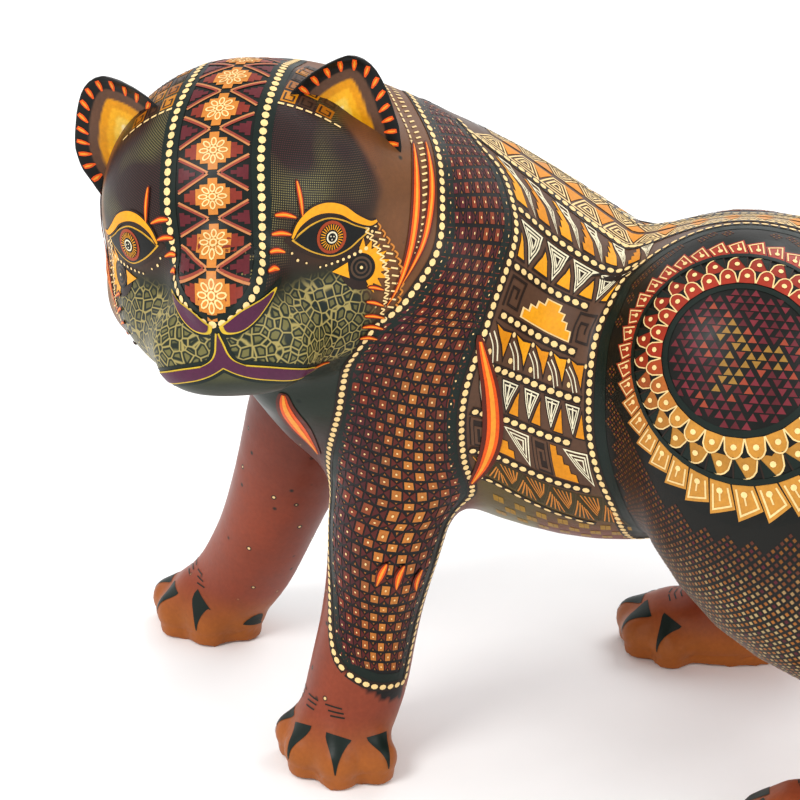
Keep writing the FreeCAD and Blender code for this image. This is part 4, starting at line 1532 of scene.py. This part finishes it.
# ---------------------------------------------------------------- ears
# height v, inner u and outer u of an ear's outline
EAR_ROWS = np.array([(8, 11.5, 46.5), (14, 12.2, 48.6), (20, 13.0, 49.8), (27, 13.8, 49.6), (34, 15.0, 48.2),
                     (39, 17.0, 47.0), (42.5, 19.4, 45.8), (45.2, 22.4, 44.6), (47.4, 25.8, 43.2),
                     (49.2, 29.6, 41.4), (50.4, 33.0, 39.4), (51.0, 35.4, 37.4)])
EAR_TOP = 51.0
EAR_ROOT_DEPTH = 5.0         # how deep an ear's foot goes below the skin
EAR_PEG_AT = (39.0, 33.5)


def ear_lean(side, v):
    """The right ear sits a little wider and lower than the left one."""
    if side > 0:
        return 0 * v, 0 * v
    return 2.6 * share(v, 12, 32) - 2.5 * share(v, 24, 8), 0 * v - 2.4


def ear_width(v):
    """Half the width of an ear and its middle, at a height."""
    inner = np.interp(v, EAR_ROWS[:, 0], EAR_ROWS[:, 1])
    outer = np.interp(v, EAR_ROWS[:, 0], EAR_ROWS[:, 2])
    return (outer - inner) / 2, (outer + inner) / 2


def ear_place(side, face, flat):
    """(share from inner to outer edge, v) on the front or back face of an ear."""
    share_across, v = flat.T
    half, middle = ear_width(v)
    u = middle + half * share_across
    swell = 2.4 * np.exp(-((u - EAR_PEG_AT[0]) ** 2 + (v - EAR_PEG_AT[1]) ** 2) / 60)
    thick = (1.7 + swell) * np.sqrt(np.clip(1 - share_across ** 4, 0, 1)) * face
    thick = thick * np.sqrt(np.clip((51.1 - v) / 1.6, 0, 1))
    w = 8.0 - 0.3 * (u - 35) - 0.40 * half * (1 - share_across ** 2) + thick
    wider, lower = ear_lean(side, v)
    return from_head(np.stack([side * (u + wider), v + lower, w], 1)), u


def ear_depth(u, v):
    """mm inside the ear's outline, the foot not counted."""
    fine = smooth_line(np.vstack([EAR_ROWS[:, [1, 0]], EAR_ROWS[::-1, [2, 0]]]))
    return np.sqrt(((np.stack([u, v], 1)[:, None] - fine[None]) ** 2).sum(2)).min(1)


EAR_BANDS = [(0.0, BLACK), (4.6, colour("6a4c3a")), (7.8, colour("dc9a14")), (10.4, colour("f0b428")),
             (12.6, colour("f6ce5c")), (14.6, colour("fae8b4"))]

for side, word in ((1, "left"), (-1, "right")):
    across = -np.cos(np.linspace(0, math.pi, 64))
    levels = np.concatenate([np.linspace(8, 44, 60), EAR_TOP - 7.0 * np.linspace(1, 0.02, 30)[1:] ** 2])
    loop_points, loop_tints = [], []
    for v in levels:
        front, u = ear_place(side, 1, np.stack([across, 0 * across + v], 1))
        back, _ = ear_place(side, -1, np.stack([across[::-1], 0 * across + v], 1))
        depth = ear_depth(u, 0 * u + v)
        tint = np.repeat(EAR_BANDS[0][1][None], len(u), 0)
        for start, band in EAR_BANDS[1:]:
            tint = over(tint, band, share(depth, start - 0.3, start + 0.3))
        loop_points.append(np.vstack([front, back[1:-1]]))
        loop_tints.append(np.vstack([tint, np.repeat(colour("2c241c")[None], len(back) - 2, 0)]))
    net = np.array(loop_points)
    rows, columns = net.shape[:2]
    along = np.gradient(net, axis=0)
    around = np.roll(net, -1, axis=1) - np.roll(net, 1, axis=1)
    facing = np.cross(around, along) * side
    facing /= np.maximum(np.linalg.norm(facing, axis=2), 1e-9)[:, :, None]
    if (facing[30, 32] @ HEAD_W) < 0:
        facing = -facing
    number = np.arange(rows * columns).reshape(rows, columns)
    beside = np.roll(number, -1, axis=1)
    quads = np.stack([number[:-1], beside[:-1], beside[1:], number[1:]], -1).reshape(-1, 4)
    points = net.reshape(-1, 3)
    normals = facing.reshape(-1, 3)
    slope, away = skin_normals(points)
    quads = quads[(away[quads] > -EAR_ROOT_DEPTH).any(axis=1)]
    sunk = (away < -EAR_ROOT_DEPTH)[:, None]
    points = np.where(sunk, points + slope * (-EAR_ROOT_DEPTH - away)[:, None], points)
    mesh_piece("painted_ear_" + word, points, quads, normals, word + "_ear", np.vstack(loop_tints),
               replaces=("ear_" + word,))

    outline = smooth_line(np.vstack([EAR_ROWS[5:, [1, 0]], EAR_ROWS[:0:-1, [2, 0]]]))
    length = path_lengths(outline)
    heart = np.array([33.0, 24.0])
    paint = Paint("ear_rays_" + word, word + "_ear", skin=False)

    def on_ear(flat, side=side):
        """(u, v) straight onto the front face of the ear, with the face's direction."""
        u, v = flat.T
        half, middle = ear_width(v)
        at = np.clip((u - middle) / half, -0.97, 0.97)
        base, _ = ear_place(side, 1, np.stack([at, v], 1))
        beside, _ = ear_place(side, 1, np.stack([at + 0.02, v], 1))
        above, _ = ear_place(side, 1, np.stack([at, v - 0.3], 1))
        normal = np.cross(beside - base, above - base)
        normal /= np.maximum(np.linalg.norm(normal, axis=1), 1e-9)[:, None]
        normal *= np.sign(normal @ HEAD_W)[:, None]
        return np.hstack([base, normal])

    for k in range(14):
        at = (k + 0.5) / 14 * length[-1]
        root = read_along([at], length, outline)[0]
        inward = heart - root
        inward /= np.linalg.norm(inward)
        paint.line(on_ear, [root + inward * t for t in (0.9, 2.2, 3.5, 4.9)], [1.2, 1.6, 1.3, 0.5],
                   FLAME, 1.5)
        paint.line(on_ear, [root + inward * t for t in (1.3, 2.6, 3.9)], [0.4, 0.7, 0.2], GLOW, 2.5)
    paint.build()

# ---------------------------------------------------------------- tail: bead rings and flame marks
TAIL = [(1, 112, 146, 14), (2, 134, 138, 12.5), (2, 165, 114, 11), (0, 195, 87, 10), (-2, 222, 76, 9.5),
        (-6, 246, 85, 9.5), (-10, 262, 105, 10)]
tail_line = refine(TAIL, 8)
tail_length = path_lengths(tail_line[:, :3])
tail_heading = np.gradient(tail_line[:, :3], axis=0)
tail_heading /= np.linalg.norm(tail_heading, axis=1)[:, None]


def on_tail(flat):
    """(mm around from the top, mm along) on the tail, with the skin's direction."""
    balls = read_along(flat[:, 1], tail_length, tail_line)
    heading = read_along(flat[:, 1], tail_length, tail_heading)
    beside = np.cross(heading, np.array([0.0, 0.0, 1.0]))
    beside /= np.linalg.norm(beside, axis=1)[:, None]
    top = np.cross(beside, heading)
    turn = flat[:, :1] / 10.0
    normal = top * np.cos(turn) + beside * np.sin(turn)
    return np.hstack([balls[:, :3] + normal * balls[:, 3:], normal])


paint = Paint("tail_marks", "tail_piece", skin=False)
whole = 20 * math.pi         # mm once around the tail
for station in np.arange(26, tail_length[-1] - 4, 23.0):
    paint.line(on_tail, [(0, station), (whole, station)], 5.6, NIGHT, 1)
    for k in range(20):
        paint.disc(on_tail, ((k + 0.5) * whole / 20, station), (1.2, 1.1), CREAM, 3)
    for k in range(8):
        x = (k + 0.5) * whole / 8
        for half, low, high, tint, coat in ((3.3, 4.2, 11.5, RUST, 1.2), (2.0, 5.0, 9.6, GOLD, 2.2)):
            foot = station + low
            paint.tri(on_tail, (x - half, foot), (x + half, foot), (x, station + high), tint, coat)
        paint.flame(on_tail, [(x + 3.9, station + rise) for rise in (8, 12, 17)], 1.5, 1.2)
paint.build()


# ---------------------------------------------------------------- pins, pegs and tail keep their carved shape
for node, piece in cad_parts.items():
    if node.startswith(("neck_dowel", "front_leg_dowels", "hind_leg_dowels", "ear_peg", "tail_peg")):
        material = wood_material
    elif node == "tail":
        material = tail_material
    else:
        continue
    piece.data.materials.clear()
    piece.data.materials.append(material)

# ---------------------------------------------------------------- floor, light and camera
floor_mesh = bpy.data.meshes.new("floor")
floor_mesh.from_pydata([(-6, -6, 0), (6, -6, 0), (6, 6, 0), (-6, 6, 0)], [], [(0, 1, 2, 3)])
floor = bpy.data.objects.new("floor", floor_mesh)
bpy.context.scene.collection.objects.link(floor)
n = Nodes("floor_paper", 0.85, 0.0)
fibre = n.noise(place_vector(n), 40.0, 3.0)
n.shader.inputs["Specular IOR Level"].default_value = 0.1
floor_mesh.materials.append(n.finish(n.hue(colour("fafafa", 1.0), fibre, 0.01), fibre, 0.05, 0.0002))


def soft_light(name, place, target, size, watts, tint=(1, 1, 1)):
    """A round lamp turned towards a target."""
    lamp = bpy.data.lights.new(name, "AREA")
    lamp.shape = "DISK"
    lamp.size = size
    lamp.energy = watts
    lamp.color = tint
    lamp_object = bpy.data.objects.new(name, lamp)
    lamp_object.location = place
    heading = Vector(target) - Vector(place)
    lamp_object.rotation_euler = heading.to_track_quat("-Z", "Y").to_euler()
    bpy.context.scene.collection.objects.link(lamp_object)


MIDDLE = (0.0, -0.05, 0.13)
soft_light("key_light", (1.1, -0.9, 1.5), MIDDLE, 0.8, 18.0, (1.0, 0.99, 0.97))
soft_light("back_light", (-1.2, 0.6, 1.5), MIDDLE, 1.2, 12.0)
soft_light("side_light", (0.8, 1.4, 1.0), MIDDLE, 1.0, 8.0)

bpy.context.scene.view_settings.view_transform = "Standard"
world = bpy.data.worlds.new("studio")
bpy.context.scene.world = world
world.use_nodes = True
world.node_tree.nodes["Background"].inputs["Color"].default_value = (1.0, 1.0, 1.0, 1.0)
world.node_tree.nodes["Background"].inputs["Strength"].default_value = 1.0

camera_data = bpy.data.cameras.new("camera")
camera_data.lens = 117.0
camera_data.sensor_width = 36.0
camera_data.clip_start = 0.01
camera = bpy.data.objects.new("camera", camera_data)
AZIMUTH = math.radians(100.0)
ELEVATION = math.radians(25.0)
right = Vector((math.cos(AZIMUTH), math.sin(AZIMUTH), 0))
away = Vector((math.sin(AZIMUTH) * math.cos(ELEVATION), -math.cos(AZIMUTH) * math.cos(ELEVATION),
               math.sin(ELEVATION)))
up = away.cross(right)
turn = Matrix((right, up, away)).transposed()
camera.matrix_world = Matrix.Translation((0.7785, 0.0145, 0.498)) @ turn.to_4x4()
bpy.context.scene.collection.objects.link(camera)
bpy.context.scene.camera = camera
